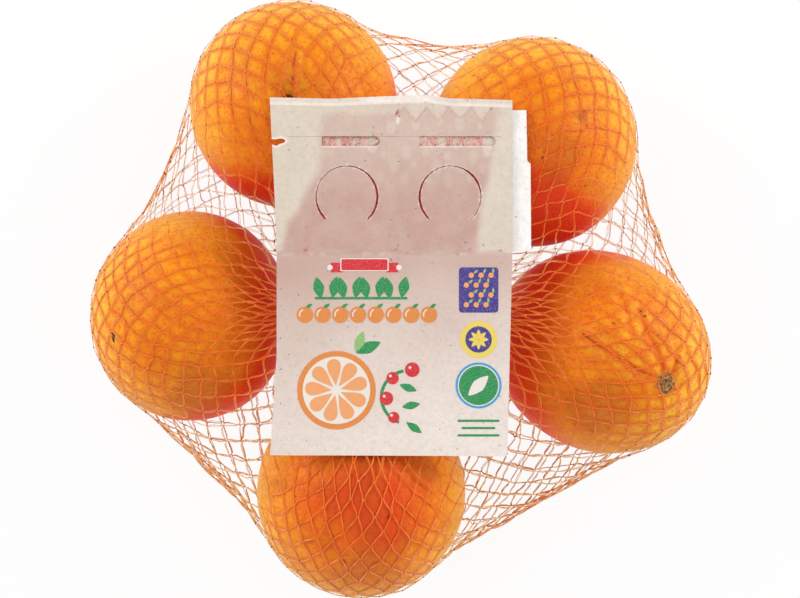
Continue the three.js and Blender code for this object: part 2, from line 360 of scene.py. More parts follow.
@dataclass(frozen=True)
class PeelFinish:
    """Waxed citrus peel: pitted, a little translucent, so its shaded side is redder, helped by painted shade.
    """

    light: str = "#f6a618"
    body: str = "#f09016"
    # Painted light: the flanks that face the side lamps, raised swells and the sides of creases.
    rubbed: str = "#ffc840"
    # The strands' painted shadow on the peel, with a little darkening where they press it.
    pressed: str = "#e2701a"
    # Painted shade on the shaded side and in creases, and the red of the pores.
    deep: str = "#ea4420"
    scar: str = "#46180c"
    # Brown bruises, which on the shaded sides are painted shade.
    bruise: str = "#b04c1c"
    pore_spacing: float = 1.25
    pore_depth: float = 0.2
    mottle: float = 15.0
    fine_mottle: float = 2.0
    speck_spacing: float = 4.2
    speck_share: float = 0.18
    scatter: float = 2.0

    def material(self) -> Material:
        """Builds the peel's material, which reads the attributes rubbed, pressed, flush, scar and bruise.

        Returns:
            The material.
        """
        material, tree = new_material("waxed_citrus_peel")
        place = add_node(tree, "TexCoord").outputs["Object"]
        noises = []
        for size, detail, roughness in ((self.mottle, 3.0, 0.55), (self.fine_mottle, 2.0, 0.6)):
            sockets = {"Vector": place, "Scale": per_metre(size), "Detail": detail, "Roughness": roughness}
            noises.append(add_node(tree, "TexNoise", sockets).outputs["Fac"])
        broad, fine = noises
        tone = add_node(tree, "MapRange", {"Value": broad, "From Min": 0.35, "From Max": 0.68})
        # Pores: the peel dips in the middle of each cell, and is redder there.
        sockets = {"Vector": place, "Scale": per_metre(self.pore_spacing), "Randomness": 0.9}
        pores = add_node(tree, "TexVoronoi", sockets, feature="SMOOTH_F1")
        sockets = {"Value": pores.outputs["Distance"], "From Min": 0.12, "From Max": 0.5}
        pit = add_node(tree, "MapRange", sockets, interpolation_type="SMOOTHSTEP").outputs[0]
        pitted = add_node(tree, "Math", {0: pit, 1: -0.35, 2: fine}, operation="MULTIPLY_ADD").outputs[0]
        sockets = {"Value": pitted, "From Min": 0.12, "From Max": 0.62, "To Max": 0.5}
        grain = add_node(tree, "MapRange", sockets)
        # Small dark specks: some of the cells hold one.
        cells = add_node(tree, "TexVoronoi", {"Vector": place, "Scale": per_metre(self.speck_spacing)})
        sockets = {"From Min": 0.04, "From Max": 0.1, "To Min": 0.6, "To Max": 0.0}
        speck = add_node(tree, "MapRange", {"Value": cells.outputs["Distance"], **sockets})
        draw = add_node(tree, "SeparateColor", {0: cells.outputs["Color"]})
        chosen = add_node(tree, "Math", {0: draw.outputs[0], 1: self.speck_share}, operation="LESS_THAN")
        specks = add_node(tree, "Math", {0: speck.outputs[0], 1: chosen.outputs[0]}, operation="MULTIPLY")
        stored = {}
        for name in ("rubbed", "pressed", "flush", "bruise", "scar"):
            stored[name] = add_node(tree, "Attribute", attribute_name=name).outputs["Fac"]
        marks = add_node(tree, "Math", {0: stored["scar"], 1: specks.outputs[0]}, operation="MAXIMUM")
        layers = (
            (tone.outputs[0], self.light),
            (stored["rubbed"], self.rubbed),
            (stored["pressed"], self.pressed),
            (stored["flush"], self.deep),
            (grain.outputs[0], self.deep),
            (stored["bruise"], self.bruise),
            (marks.outputs[0], self.scar),
        )
        colour = linear(self.body)
        for factor, layer in layers:
            sockets = {MIX_FACTOR: factor, MIX_A: colour, MIX_B: linear(layer)}
            colour = add_node(tree, "Mix", sockets, data_type="RGBA").outputs[MIX_RESULT]
        bump = add_node(tree, "Bump", {"Height": pit, "Strength": 0.75, "Distance": self.pore_depth * MM})
        sockets = {"From Min": 0.3, "From Max": 0.7, "To Min": 0.38, "To Max": 0.5}
        gloss = add_node(tree, "MapRange", {"Value": fine, **sockets})
        peel = add_node(
            tree,
            "BsdfPrincipled",
            {
                "Base Color": colour,
                "Roughness": gloss.outputs[0],
                "IOR": 1.45,
                "Specular IOR Level": 0.14,
                "Subsurface Weight": 0.45,
                "Subsurface Radius": (1.0, 0.28, 0.08),
                "Subsurface Scale": self.scatter * MM,
                "Normal": bump.outputs["Normal"],
            },
        )
        add_node(tree, "OutputMaterial", {"Surface": peel.outputs[0]})
        return material


@dataclass(frozen=True)
class StemFinish:
    """Dry woody button: dark red-brown in its folds, streaked with straw and dull green."""

    name: str = "dry_stem_wood"
    wood: str = "#6e3412"
    pale: str = "#bd9c58"
    streak: float = 1.1
    ridge: float = 0.3

    def material(self) -> Material:
        """Builds the button's material.

        Returns:
            The material.
        """
        material, tree = new_material(self.name)
        place = add_node(tree, "TexCoord").outputs["Object"]
        sockets = {"Vector": place, "Scale": per_metre(self.streak), "Detail": 4.0, "Roughness": 0.7}
        streaks = add_node(tree, "TexNoise", sockets).outputs["Fac"]
        tone = add_node(tree, "MapRange", {"Value": streaks, "From Min": 0.44, "From Max": 0.62})
        sockets = {MIX_FACTOR: tone.outputs[0], MIX_A: linear(self.wood), MIX_B: linear(self.pale)}
        colour = add_node(tree, "Mix", sockets, data_type="RGBA").outputs[MIX_RESULT]
        bump = add_node(tree, "Bump", {"Height": streaks, "Strength": 0.8, "Distance": self.ridge * MM})
        sockets = {"Base Color": colour, "Roughness": 0.8, "Normal": bump.outputs["Normal"]}
        wood = add_node(tree, "BsdfPrincipled", sockets)
        add_node(tree, "OutputMaterial", {"Surface": wood.outputs[0]})
        return material


@dataclass(frozen=True)
class YarnFinish:
    """Drawn polyethylene filament, dyed orange and half clear.

    It has a waxy sheen and is paler where it is stretched thin. Light is painted into its colour: it
    turns from the peel's orange to pale straw where it hangs in the open and light from the table
    passes through it, and a little on the bag's outer flanks.
    """

    name: str = "drawn_polyethylene"
    body: str = "#f2762c"
    pale: str = "#fa9046"
    dark: str = "#8e3c14"
    # Painted light: the tones where light comes through the net, paler by default.
    open_body: str = "#f0ca84"
    open_pale: str = "#fff4d8"
    patch: float = 3.0
    fleck: float = 1.1
    fleck_from: float = 0.6
    fleck_fade: float = 0.14
    fleck_least: float = 0.1

    def material(self) -> Material:
        """Builds the filament's material, which reads the attribute open, its share of painted light.

        Returns:
            The material.
        """
        material, tree = new_material(self.name)
        place = add_node(tree, "TexCoord").outputs["Object"]
        in_the_open = add_node(tree, "Attribute", attribute_name="open").outputs["Fac"]
        sockets = {"Vector": place, "Scale": per_metre(self.patch), "Detail": 2.0, "Roughness": 0.6}
        patches = add_node(tree, "TexNoise", sockets).outputs["Fac"]
        thin = add_node(tree, "MapRange", {"Value": patches, "From Min": 0.45, "From Max": 0.7}).outputs[0]
        # The dyed tone, and the one painted where light comes through the net.
        tones = []
        for body, stretched in ((self.body, self.pale), (self.open_body, self.open_pale)):
            sockets = {MIX_FACTOR: thin, MIX_A: linear(body), MIX_B: linear(stretched)}
            tones.append(add_node(tree, "Mix", sockets, data_type="RGBA").outputs[MIX_RESULT])
        # Dark flecks, which show most where the strand hangs in the open.
        flecks = add_node(tree, "TexNoise", {"Vector": place, "Scale": per_metre(self.fleck), "Detail": 1.0})
        full = self.fleck_from + self.fleck_fade
        sockets = {"From Min": self.fleck_from, "From Max": full, "To Max": 0.75}
        dark = add_node(tree, "MapRange", {"Value": flecks.outputs["Fac"], **sockets})
        where = add_node(tree, "Math", {0: in_the_open, 1: self.fleck_least}, operation="MAXIMUM")
        shown = add_node(tree, "Math", {0: dark.outputs[0], 1: where.outputs[0]}, operation="MULTIPLY")
        colour = tones[0]
        for factor, layer in ((in_the_open, tones[1]), (shown.outputs[0], linear(self.dark))):
            sockets = {MIX_FACTOR: factor, MIX_A: colour, MIX_B: layer}
            colour = add_node(tree, "Mix", sockets, data_type="RGBA").outputs[MIX_RESULT]
        sockets = {"Base Color": colour, "Roughness": 0.45, "IOR": 1.5, "Specular IOR Level": 0.12}
        yarn = add_node(tree, "BsdfPrincipled", sockets)
        add_node(tree, "OutputMaterial", {"Surface": yarn.outputs[0]})
        return material


@dataclass(frozen=True)
class PaperFinish:
    """Uncoated recycled paper: cloudy, flecked with bark and ink, dull.

    Its real fibres are far too fine to show, so they are drawn some tenths of a millimetre apart.
    """

    name: str
    pulp: str
    cloud: str
    soaked: str = "#c9a096"
    # Stains, and painted shade: dashes along the fold and the shaded net's dark red at the finger cuts.
    stained: str = "#9c2a26"
    # Mixed in where the attribute worn says: whitened paper, and a painted highlight on the front seal ridge.
    rubbed: str = "#fbf1ea"
    fleck: str = "#5f554c"
    grain: str = "#bfae9f"
    cloud_size: float = 12.0
    grain_size: float = 1.8
    fibre: float = 0.4
    fibre_height: float = 0.09
    bend: float = 0.9
    fleck_spacing: float = 3.0
    fleck_share: float = 0.16
    score_y: float = 57.75
    score_ends: Pair = (-40.0, 35.5)
    score_half_width: float = 0.17

    def material(self) -> Material:
        """Builds the paper's material, which reads the attributes tail, stain and worn.

        Returns:
            The material.
        """
        material, tree = new_material(self.name)
        place = add_node(tree, "TexCoord").outputs["Object"]
        patterns = ((self.cloud_size, 6.0, 0.65), (self.grain_size, 5.0, 0.7), (self.fibre, 2.0, 0.6))
        noises = []
        for size, detail, roughness in patterns:
            sockets = {"Vector": place, "Scale": per_metre(size), "Detail": detail, "Roughness": roughness}
            noises.append(add_node(tree, "TexNoise", sockets).outputs["Fac"])
        clouds, grains, fibres = noises
        cloudy = add_node(tree, "MapRange", {"Value": clouds, "From Min": 0.35, "From Max": 0.65})
        sockets = {"Value": grains, "From Min": 0.42, "From Max": 0.72, "To Max": 0.3}
        grainy = add_node(tree, "MapRange", sockets)
        # The flecks' places are bent, so that none is round.
        bends = add_node(tree, "TexNoise", {"Vector": place, "Scale": per_metre(self.bend), "Detail": 1.0})
        sockets = {0: bends.outputs["Color"], 1: (2.2 * self.bend * MM,) * 3, 2: place}
        bent = add_node(tree, "VectorMath", sockets, operation="MULTIPLY_ADD").outputs[0]
        layers = [(cloudy.outputs[0], self.cloud)]
        for attribute, colour in (("tail", self.soaked), ("stain", self.stained), ("worn", self.rubbed)):
            layers.append((add_node(tree, "Attribute", attribute_name=attribute).outputs["Fac"], colour))
        layers.append((grainy.outputs[0], self.grain))
        # The faint scored line above the tear strip, broken up by the fibres.
        split = add_node(tree, "SeparateXYZ", {0: place})
        middle, half = sum(self.score_ends) / 2 * MM, (self.score_ends[1] - self.score_ends[0]) / 2 * MM
        along = add_node(tree, "Math", {0: split.outputs[0], 1: middle, 2: half}, operation="COMPARE")
        sockets = {0: split.outputs[1], 1: self.score_y * MM, 2: self.score_half_width * MM}
        across = add_node(tree, "Math", sockets, operation="COMPARE")
        sockets = {"Value": fibres, "From Min": 0.35, "From Max": 0.65, "To Min": 0.1, "To Max": 0.5}
        shown = add_node(tree, "MapRange", sockets).outputs[0]
        for factor in (along.outputs[0], across.outputs[0]):
            shown = add_node(tree, "Math", {0: shown, 1: factor}, operation="MULTIPLY").outputs[0]
        layers.append((shown, self.fleck))
        # Flecks of bark and ink, large and small: a share of a pattern's cells hold one, frayed by the
        # fibres. Each pattern has its spacing as a share of the finish's own, its flecks' radius as a
        # share of that spacing, and the strength of the darkest.
        for spread, radius, strength in ((1.0, 0.055, 0.7), (0.3, 0.16, 0.22)):
            sockets = {"Vector": bent, "Scale": per_metre(self.fleck_spacing * spread)}
            cells = add_node(tree, "TexVoronoi", sockets, voronoi_dimensions="2D")
            sockets = {0: fibres, 1: -2.2 * radius, 2: cells.outputs["Distance"]}
            frayed = add_node(tree, "Math", sockets, operation="MULTIPLY_ADD").outputs[0]
            sockets = {"Value": frayed, "From Min": 0.0, "From Max": radius, "To Min": 1.0, "To Max": 0.0}
            speck = add_node(tree, "MapRange", sockets)
            draw = add_node(tree, "SeparateColor", {0: cells.outputs["Color"]})
            chosen = add_node(tree, "Math", {0: draw.outputs[0], 1: self.fleck_share}, operation="LESS_THAN")
            shown = draw.outputs[1]
            for factor in (strength, chosen.outputs[0], speck.outputs[0]):
                shown = add_node(tree, "Math", {0: shown, 1: factor}, operation="MULTIPLY").outputs[0]
            layers.append((shown, self.fleck))
        colour = linear(self.pulp)
        for factor, layer in layers:
            sockets = {MIX_FACTOR: factor, MIX_A: colour, MIX_B: linear(layer)}
            colour = add_node(tree, "Mix", sockets, data_type="RGBA").outputs[MIX_RESULT]
        bump = add_node(tree, "Bump", {"Height": fibres, "Strength": 0.6, "Distance": self.fibre_height * MM})
        sockets = {"Roughness": 0.85, "Specular IOR Level": 0.3, "Normal": bump.outputs["Normal"]}
        paper = add_node(tree, "BsdfPrincipled", {"Base Color": colour, **sockets})
        add_node(tree, "OutputMaterial", {"Surface": paper.outputs[0]})
        return material


@dataclass(frozen=True)
class InkFinish:
    """Printing ink soaked into uncoated paper: flat colour, thin where the paper's fibres show through.

    The fibres are drawn as coarse as the paper's, because real ones are too fine to show.
    """

    name: str
    colour: str
    bare: str = "#e6d8cc"
    fibre: float = 0.5
    fibre_height: float = 0.05

    def material(self) -> Material:
        """Builds the ink's material.

        Returns:
            The material.
        """
        material, tree = new_material(f"ink_{self.name}")
        place = add_node(tree, "TexCoord").outputs["Object"]
        sockets = {"Vector": place, "Scale": per_metre(self.fibre), "Detail": 3.0, "Roughness": 0.65}
        fibres = add_node(tree, "TexNoise", sockets).outputs["Fac"]
        thin = add_node(tree, "MapRange", {"Value": fibres, "From Min": 0.5, "From Max": 0.8, "To Max": 0.35})
        sockets = {MIX_FACTOR: thin.outputs[0], MIX_A: linear(self.colour), MIX_B: linear(self.bare)}
        colour = add_node(tree, "Mix", sockets, data_type="RGBA").outputs[MIX_RESULT]
        bump = add_node(tree, "Bump", {"Height": fibres, "Strength": 0.3, "Distance": self.fibre_height * MM})
        sockets = {"Base Color": colour, "Roughness": 0.7, "Normal": bump.outputs["Normal"]}
        ink = add_node(tree, "BsdfPrincipled", sockets)
        add_node(tree, "OutputMaterial", {"Surface": ink.outputs[0]})
        return material


# ---- Oranges ---------------------------------------------------------------------------


@dataclass(frozen=True)
class Crease:
    """A fold in the peel: its line from above, its depth, half width and the dark line painted along it."""

    line: tuple[Pair, ...]
    depth: float = 0.8
    width: float = 1.1
    stain: float = 0.3


@dataclass(frozen=True)
class Mark:
    """A spot on the peel from above, and the strength of its scar and of its brown, partly painted shade."""

    place: Pair
    size: float
    scar: float = 0.0
    bruise: float = 0.0


@dataclass
class Orange:
    """One orange: where it lies, its half axes, its heading in degrees and what marks its peel.

    Its shaded side is a direction in the bag's axes: on that side painted shade reddens the peel,
    where it faces that way by more than a set cosine. Its stem is a direction in its own axes.
    Puffiness is the height of the folds round the stem end. Mud sets the strength of the brown
    clouds on top, partly the peel's own and partly painted shade. It rests on a flat spot that
    begins at the height foot.
    """

    name: str
    place: Pair
    radii: Triple
    deep_side: Triple
    deep_from: float = 0.0
    heading: float = 0.0
    stem: Triple = (0.3, 0.3, -1.0)
    stem_end: StemEnd = StemEnd.BUTTON
    puffiness: float = 0.0
    mud: float = 0.12
    creases: tuple[Crease, ...] = ()
    marks: tuple[Mark, ...] = ()
    seed: int = 0
    divisions: int = 7
    fine_reach: float = 2.4
    foot: float = 0.5
    foot_sharpness: float = 6.0
    groove: float = 0.13
    groove_width: float = 1.5

    def to_bag(self, local: Array) -> Array:
        """Turns points of the orange's own axes into the bag's.

        Args:
            local: Points as (n, 3).

        Returns:
            The same points in the bag's axes.
        """
        angle = math.radians(self.heading)
        along, across, up = local.T
        x = self.place[0] + along * math.cos(angle) - across * math.sin(angle)
        y = self.place[1] + along * math.sin(angle) + across * math.cos(angle)
        return np.stack([x, y, up + self.radii[2]], axis=1)

    @property
    def middle(self) -> Array:
        """The orange's middle."""
        return np.array([*self.place, self.radii[2]])

    def reach(self, places: Array, proud: float = 0.0) -> Array:
        """How far out places lie: 0 in the orange's middle, 1 at a distance proud of its peel.

        Args:
            places: Places as (..., 3).
            proud: How far off the peel 1 lies.

        Returns:
            One value for each place.
        """
        angle = math.radians(self.heading)
        offset = places - self.middle
        along = offset[..., 0] * math.cos(angle) + offset[..., 1] * math.sin(angle)
        across = offset[..., 1] * math.cos(angle) - offset[..., 0] * math.sin(angle)
        scaled = np.stack([along, across, offset[..., 2]], axis=-1) / (np.array(self.radii) + proud)
        return np.linalg.norm(scaled, axis=-1)

    def push_out(self, knots: Array, proud: float) -> None:
        """Moves the knots that have sunk into the orange back out to its surface, in place.

        Args:
            knots: Knots as (..., 3), which this changes.
            proud: How far the net stands off the peel.
        """
        reach = self.reach(knots, proud)
        sunk = reach < 1.0
        knots[sunk] = self.middle + (knots[sunk] - self.middle) / reach[sunk][:, None]

    def relief(self, ball: Array, above: Array) -> Array:
        """The peel's unevenness.

        Args:
            ball: Directions from the orange's middle, length 1.
            above: The same vertices in the bag's axes, before the relief.

        Returns:
            How far each vertex moves outwards.
        """
        skin = ball * np.array(self.radii)
        height = 0.25 * swell(skin, 27.0, self.seed)
        height += 0.10 * swell(skin, 7.0, self.seed + 1) + 0.05 * swell(skin, 3.2, self.seed + 2)
        height += self.stem_relief(ball, skin)
        if self.puffiness:
            near = ease(45.0, 14.0, np.linalg.norm(skin - self.stem_place(), axis=1))
            folds = np.abs(swell(skin, 9.5, self.seed + 3))
            height += self.puffiness * near * (1.6 * folds - 0.5)
        top = above[:, 2] > self.radii[2]
        for crease in self.creases:
            away = distance_to_line(above[:, :2], crease.line) + 0.3 * swell(skin, 2.4, self.seed + 9)
            trough = 0.4 * bell(away, 3.6 * crease.width)
            height -= top * crease.depth * (trough + 0.6 * bell(away, crease.width))
        return height

    def stem_place(self) -> Array:
        """The stem end on the bare ellipsoid, in the orange's own axes."""
        return unit(np.array(self.stem)) * np.array(self.radii)

    def stem_relief(self, ball: Array, skin: Array) -> Array:
        """The dimple and wrinkles at the stem end, and the small nub at the other end.

        Args:
            ball: Directions from the orange's middle, length 1.
            skin: Where they meet the bare ellipsoid.

        Returns:
            How far each vertex moves outwards.
        """
        pole = self.stem_place()
        away = np.linalg.norm(skin - pole, axis=1)
        axis = unit(np.array(self.stem))
        side = unit(np.cross(axis, [0.31, 0.95, 0.11]))
        around = np.arctan2(ball @ np.cross(axis, side), ball @ side)
        ragged = around + 0.35 * swell(skin, 5.0, self.seed + 4)
        depth = 2.6 if self.stem_end is StemEnd.PIT else 1.5
        dimple = depth * bell(away, 5.0)
        wrinkles = 9
        wrinkle = 0.16 * np.cos(wrinkles * ragged) * bell(away - 5.5, 2.6)
        blossom = np.linalg.norm(skin + pole, axis=1)
        nub = 0.5 * bell(blossom, 3.0) * np.cos(blossom * 1.4)
        return wrinkle - dimple - nub

    def ball(self) -> BMesh:
        """A unit sphere of small faces, which are finer at the creases, the marks and the stem end.

        Returns:
            The sphere.
        """
        bm = bmesh.new()
        bmesh.ops.create_icosphere(bm, subdivisions=self.divisions, radius=1.0)
        for _ in range(2):
            points = np.array([vertex.co[:] for vertex in bm.verts])
            skin = points * np.array(self.radii)
            above = self.to_bag(skin)
            away = np.linalg.norm(skin - self.stem_place(), axis=1) - self.fine_reach
            for crease in self.creases:
                away = np.minimum(away, distance_to_line(above[:, :2], crease.line))
            for mark in self.marks:
                if mark.size < 2.0:
                    away = np.minimum(away, np.linalg.norm(above[:, :2] - np.array(mark.place), axis=1))
            fine = (away < self.fine_reach) & (above[:, 2] > self.radii[2])
            edges = [edge for edge in bm.edges if fine[edge.verts[0].index] and fine[edge.verts[1].index]]
            bmesh.ops.subdivide_edges(bm, edges=edges, cuts=1, use_grid_fill=True)
            bm.verts.index_update()
        for vertex in bm.verts:
            vertex.co.normalize()
        return bm

    def build(self, peel: Material, wood: Material, net: "Net") -> list[Object]:
        """Makes the orange and its stem end.

        Args:
            peel: The peel's material.
            wood: The button's material.
            net: The net, which presses into the peel.

        Returns:
            The pieces.
        """
        mesh = mesh_from(self.ball(), f"orange_{self.name}")
        ball = read_points(mesh)
        skin = ball * np.array(self.radii)
        normal = unit(ball / np.array(self.radii))
        above = self.to_bag(skin)
        thread = net.thread_distance(above)
        height = self.relief(ball, above) - self.groove * bell(thread, self.groove_width)
        points = self.to_bag(skin + normal * height[:, None])
        lift = np.logaddexp(0.0, (points[:, 2] - self.foot) * self.foot_sharpness) / self.foot_sharpness
        points[:, 2] = self.foot + lift
        write_points(mesh, points)
        self.paint(mesh, skin, above, thread, height)
        piece = declare(add_object(mesh, peel), Slot.PEEL, "net_bag")
        if self.stem_end is StemEnd.PIT:
            return [piece]
        return [piece, self.build_button(wood)]

    def paint(self, mesh: Mesh, skin: Array, above: Array, thread: Array, height: Array) -> None:
        """Stores the peel's painted light and shade, where the net presses it, and its scars and bruises.

        Args:
            mesh: The peel's mesh.
            skin: Its vertices in the orange's own axes, before the relief.
            above: The same vertices in the bag's axes.
            thread: Their distance from the net's nearest strand.
            height: How far the relief lifts them.
        """
        pole = self.stem_place()
        away = np.linalg.norm(skin - pole, axis=1)
        outward = unit(above - self.middle)
        # Painted shade: the peel is painted redder on the side that lies in shade inside the pack.
        facing = outward @ unit(np.array(self.deep_side)) - self.deep_from
        cloudy = facing + 0.14 * swell(skin, 21.0, self.seed + 5) + 0.07 * swell(skin, 6.0, self.seed + 10)
        flush = 0.45 * ease(-0.7, 0.5, cloudy) + 0.55 * ease(0.0, 0.42, cloudy)
        # Painted light: paler on the flanks that face the side lamps and on raised swells, less under painted
        # shade.
        flank = np.hypot(outward[:, 0], outward[:, 1]) + 0.1 * swell(skin, 8.0, self.seed + 15)
        rubbed = np.maximum(0.85 * ease(0.5, 0.95, flank), 0.5 * ease(0.15, 0.7, height)) * (1.0 - flush)
        outer = ease(-0.3, 0.5, outward[:, :2] @ unit(np.array(self.place)))
        # The strands' painted shadow, strongest on lit outer flanks, and a little darkening where they press.
        tight = 0.1 + 0.55 * (0.3 + 0.7 * outer) * (1.0 - flush) ** 2
        pressed = tight * bell(thread, 1.15)
        scar_radius = 2.7
        scar = 0.9 * ease(scar_radius, 0.4 * scar_radius, away + 0.8 * swell(skin, 2.0, self.seed + 6))
        # Brown clouds on top, partly the peel's own and partly painted shade, and brown round the stem end.
        clouds = swell(skin, 10.0, self.seed + 12) + 0.4 * swell(skin, 3.5, self.seed + 13)
        mud = self.mud * ease(-0.3, 0.5, clouds) * ease(0.1, 0.7, outward[:, 2])
        bruise = np.maximum(0.3 * ease(7.5, 3.0, away), mud)
        top = above[:, 2] > self.radii[2]
        for crease in self.creases:
            # Along each crease: painted shade in the fold and painted light on the swell beside it.
            line = distance_to_line(above[:, :2], crease.line)
            patchy = ease(-0.35, 0.45, swell(skin, 2.6, self.seed + 11))
            scar = np.maximum(scar, top * crease.stain * patchy * bell(line, 0.42))
            flush = np.maximum(flush, top * 0.4 * bell(line, 1.0))
            rubbed = np.maximum(rubbed, top * 0.5 * bell(line - 2.6, 1.2))
        for mark in self.marks:
            spot = np.linalg.norm(above[:, :2] - np.array(mark.place), axis=1)
            spot = spot + mark.size * swell(skin, 1.1 * mark.size, self.seed + 7)
            shape = top * ease(mark.size, 0.1 * mark.size, spot)
            scar = np.maximum(scar, mark.scar * shape)
            bruise = np.maximum(bruise, mark.bruise * shape)
        flush = np.minimum(flush, 1.0)
        write_attributes(mesh, rubbed=rubbed, pressed=pressed, flush=flush, scar=scar, bruise=bruise)

    def build_button(self, wood: Material) -> Object:
        """Makes the woody five-lobed button that sits in the dimple at the stem end.

        Args:
            wood: The button's material.

        Returns:
            The piece.
        """
        lobes, spread, thick, sunk = 5, 4.1, 1.0, 1.35
        bm = bmesh.new()
        bmesh.ops.create_uvsphere(bm, u_segments=40, v_segments=16, radius=1.0)
        mesh = mesh_from(bm, f"stem_button_{self.name}")
        ball = read_points(mesh)
        around = np.arctan2(ball[:, 1], ball[:, 0])
        out = np.hypot(ball[:, 0], ball[:, 1])
        rim = np.stack([np.cos(around), np.sin(around), np.zeros_like(around)], axis=1)
        star = spread * (1.0 + 0.12 * np.cos(lobes * around) + 0.45 * swell(rim, 0.75, self.seed + 14))
        star *= 1.0 - 0.06 * np.cos(2.0 * around)
        lift = thick * ball[:, 2] * (1.0 - 0.55 * bell(out, 0.3))
        local = np.stack([out * star * np.cos(around), out * star * np.sin(around), lift], axis=1)
        local[:, 2] += 0.4 * swell(local, 1.0, self.seed + 8) - 0.35 * out**2
        axis = Vector(unit(np.array(self.stem) / np.array(self.radii)))
        turn = np.array(axis.to_track_quat("Z", "Y").to_matrix())
        seat = self.stem_place() - sunk * np.array(axis)
        write_points(mesh, self.to_bag(local @ turn.T + seat))
        return declare(add_object(mesh, wood), Slot.STEM)


ORANGES = (
    Orange(
        "upper_left",
        (-39.7, 71.6),
        (38.2, 38.2, 38.4),
        deep_side=(0.35, -0.85, -0.35),
        stem=(-0.01, -0.01, 1.0),
        stem_end=StemEnd.PIT,
        creases=(
            Crease(
                ((-37.6, 88.5), (-38.3, 84.5), (-38.4, 80.5), (-38.8, 76.5)), depth=0.6, width=0.6, stain=0.45
            ),
        ),
        marks=(
            Mark((-60.0, 91.0), 1.1, scar=0.35),
            Mark((-44.0, 78.0), 10.0, bruise=0.3),
        ),
        seed=3,
    ),
    Orange(
        "upper_right",
        (48.6, 57.9),
        (38.2, 38.6, 38.5),
        deep_side=(-0.3, -0.85, 0.3),
        deep_from=0.33,
        stem=(-0.3, -0.6, -0.75),
        marks=(
            Mark((65.0, 65.0), 3.0, bruise=0.55),
            Mark((65.5, 67.3), 0.9, scar=0.4),
            Mark((66.4, 62.0), 1.0, scar=0.45),
            Mark((50.8, 50.0), 1.0, scar=0.5),
            Mark((53.5, 51.0), 13.0, bruise=0.35),
            Mark((54.8, 45.3), 0.9, scar=0.3),
            Mark((62.4, 40.7), 0.9, scar=0.3),
            Mark((66.3, 40.5), 0.8, scar=0.3),
            Mark((57.5, 60.3), 1.1, scar=0.3),
        ),
        seed=23,
    ),
    Orange(
        "right",
        (74.0, -19.5),
        (41.0, 36.6, 38.0),
        deep_side=(-0.66, 0.18, -0.72),
        deep_from=-0.3,
        heading=-27.0,
        stem=(0.59, 0.0, 0.81),
        puffiness=0.75,
        creases=(
            Crease(
                (
                    *((65.0, -12.6), (69.9, -16.2), (73.7, -18.7), (77.5, -20.9)),
                    *((80.3, -22.8), (84.1, -25.3), (89.8, -27.5)),
                ),
                depth=0.55,
                width=0.5,
                stain=0.55,
            ),
            Crease(
                ((85.6, -4.0), (87.9, -9.5), (89.3, -13.8), (91.5, -17.1), (93.7, -22.0), (94.4, -26.0)),
                depth=0.7,
                width=0.75,
                stain=0.1,
            ),
            Crease(((96.6, -29.4), (98.9, -24.6), (100.2, -20.6)), depth=0.8, width=0.5, stain=0.9),
            Crease(((79.0, 2.0), (81.5, -5.5), (83.0, -12.0)), depth=0.35, width=1.0, stain=0.0),
        ),
        marks=(
            Mark((86.2, -4.4), 0.9, scar=0.9),
            Mark((87.8, -6.0), 0.8, scar=0.8),
            Mark((75.7, -8.6), 0.8, scar=0.6),
            Mark((92.4, -12.7), 0.8, scar=0.55),
            Mark((58.3, -22.6), 0.6, scar=0.5),
            # Painted shade on the lower flank.
            Mark((70.0, -40.0), 15.0, bruise=0.35),
            Mark((81.5, 14.0), 2.6, bruise=0.35),
        ),
        seed=41,
    ),
    Orange(
        "lower",
        (-14.7, -71.3),
        (38.5, 38.5, 38.6),
        deep_side=(0.05, -0.1, 0.99),
        deep_from=0.69,
        stem=(0.15, 0.6, -0.8),
        mud=0.3,
        marks=(
            Mark((-4.5, -78.0), 1.0, scar=0.5),
            Mark((-23.0, -69.0), 0.9, scar=0.45),
            # Painted shade: the lower flank, and the top under the label's edge.
            Mark((-12.0, -95.0), 19.0, bruise=0.3),
            Mark((-11.0, -66.0), 16.0, bruise=0.45),
        ),
        seed=59,
    ),
    Orange(
        "left",
        (-77.6, -6.3),
        (36.7, 38.7, 38.1),
        deep_side=(0.62, -0.12, -0.77),
        deep_from=-0.32,
        stem=(0.6, 0.1, -0.7),
        # Painted shade on the lower flank.
        marks=(Mark((-76.0, -34.0), 14.0, bruise=0.4),),
        seed=77,
    ),
)


@dataclass
class PeelScratches:
    """Three short dark scratches side by side, dried on the left orange's peel.

    Each has its middle, its length and its heading in degrees.
    """

    strokes: tuple[tuple[float, float, float, float], ...] = (
        (-103.9, -12.9, 2.3, 126.0),
        (-103.9, -14.1, 1.9, 130.0),
        (-103.8, -15.1, 1.9, 122.0),
    )
    width: float = 0.66
    height: float = 0.12
    sunk: float = 0.1

    def build(self, orange: Orange, dried: Material) -> Object:
        """Makes the scratches as thin slivers that follow the peel.

        Args:
            orange: The orange that they lie on.
            dried: Their material.

        Returns:
            The piece.
        """
        bm = bmesh.new()
        for x, y, length, heading in self.strokes:
            stretch = Matrix.Diagonal((length / 2, self.width / 2, self.height, 1.0))
            turn = Matrix.Rotation(math.radians(heading), 4, "Z")
            place = Matrix.Translation((x, y, 0)) @ turn @ stretch
            bmesh.ops.create_uvsphere(bm, u_segments=20, v_segments=8, radius=1.0, matrix=place)
        mesh = mesh_from(bm, "peel_scratches")
        points = read_points(mesh)
        along = (points[:, 0] - orange.place[0]) / orange.radii[0]
        across = (points[:, 1] - orange.place[1]) / orange.radii[1]
        points[:, 2] += orange.radii[2] * (1.0 + np.sqrt(1.0 - along**2 - across**2)) - self.sunk
        write_points(mesh, points)
        return declare(add_object(mesh, dried), Slot.STEM)


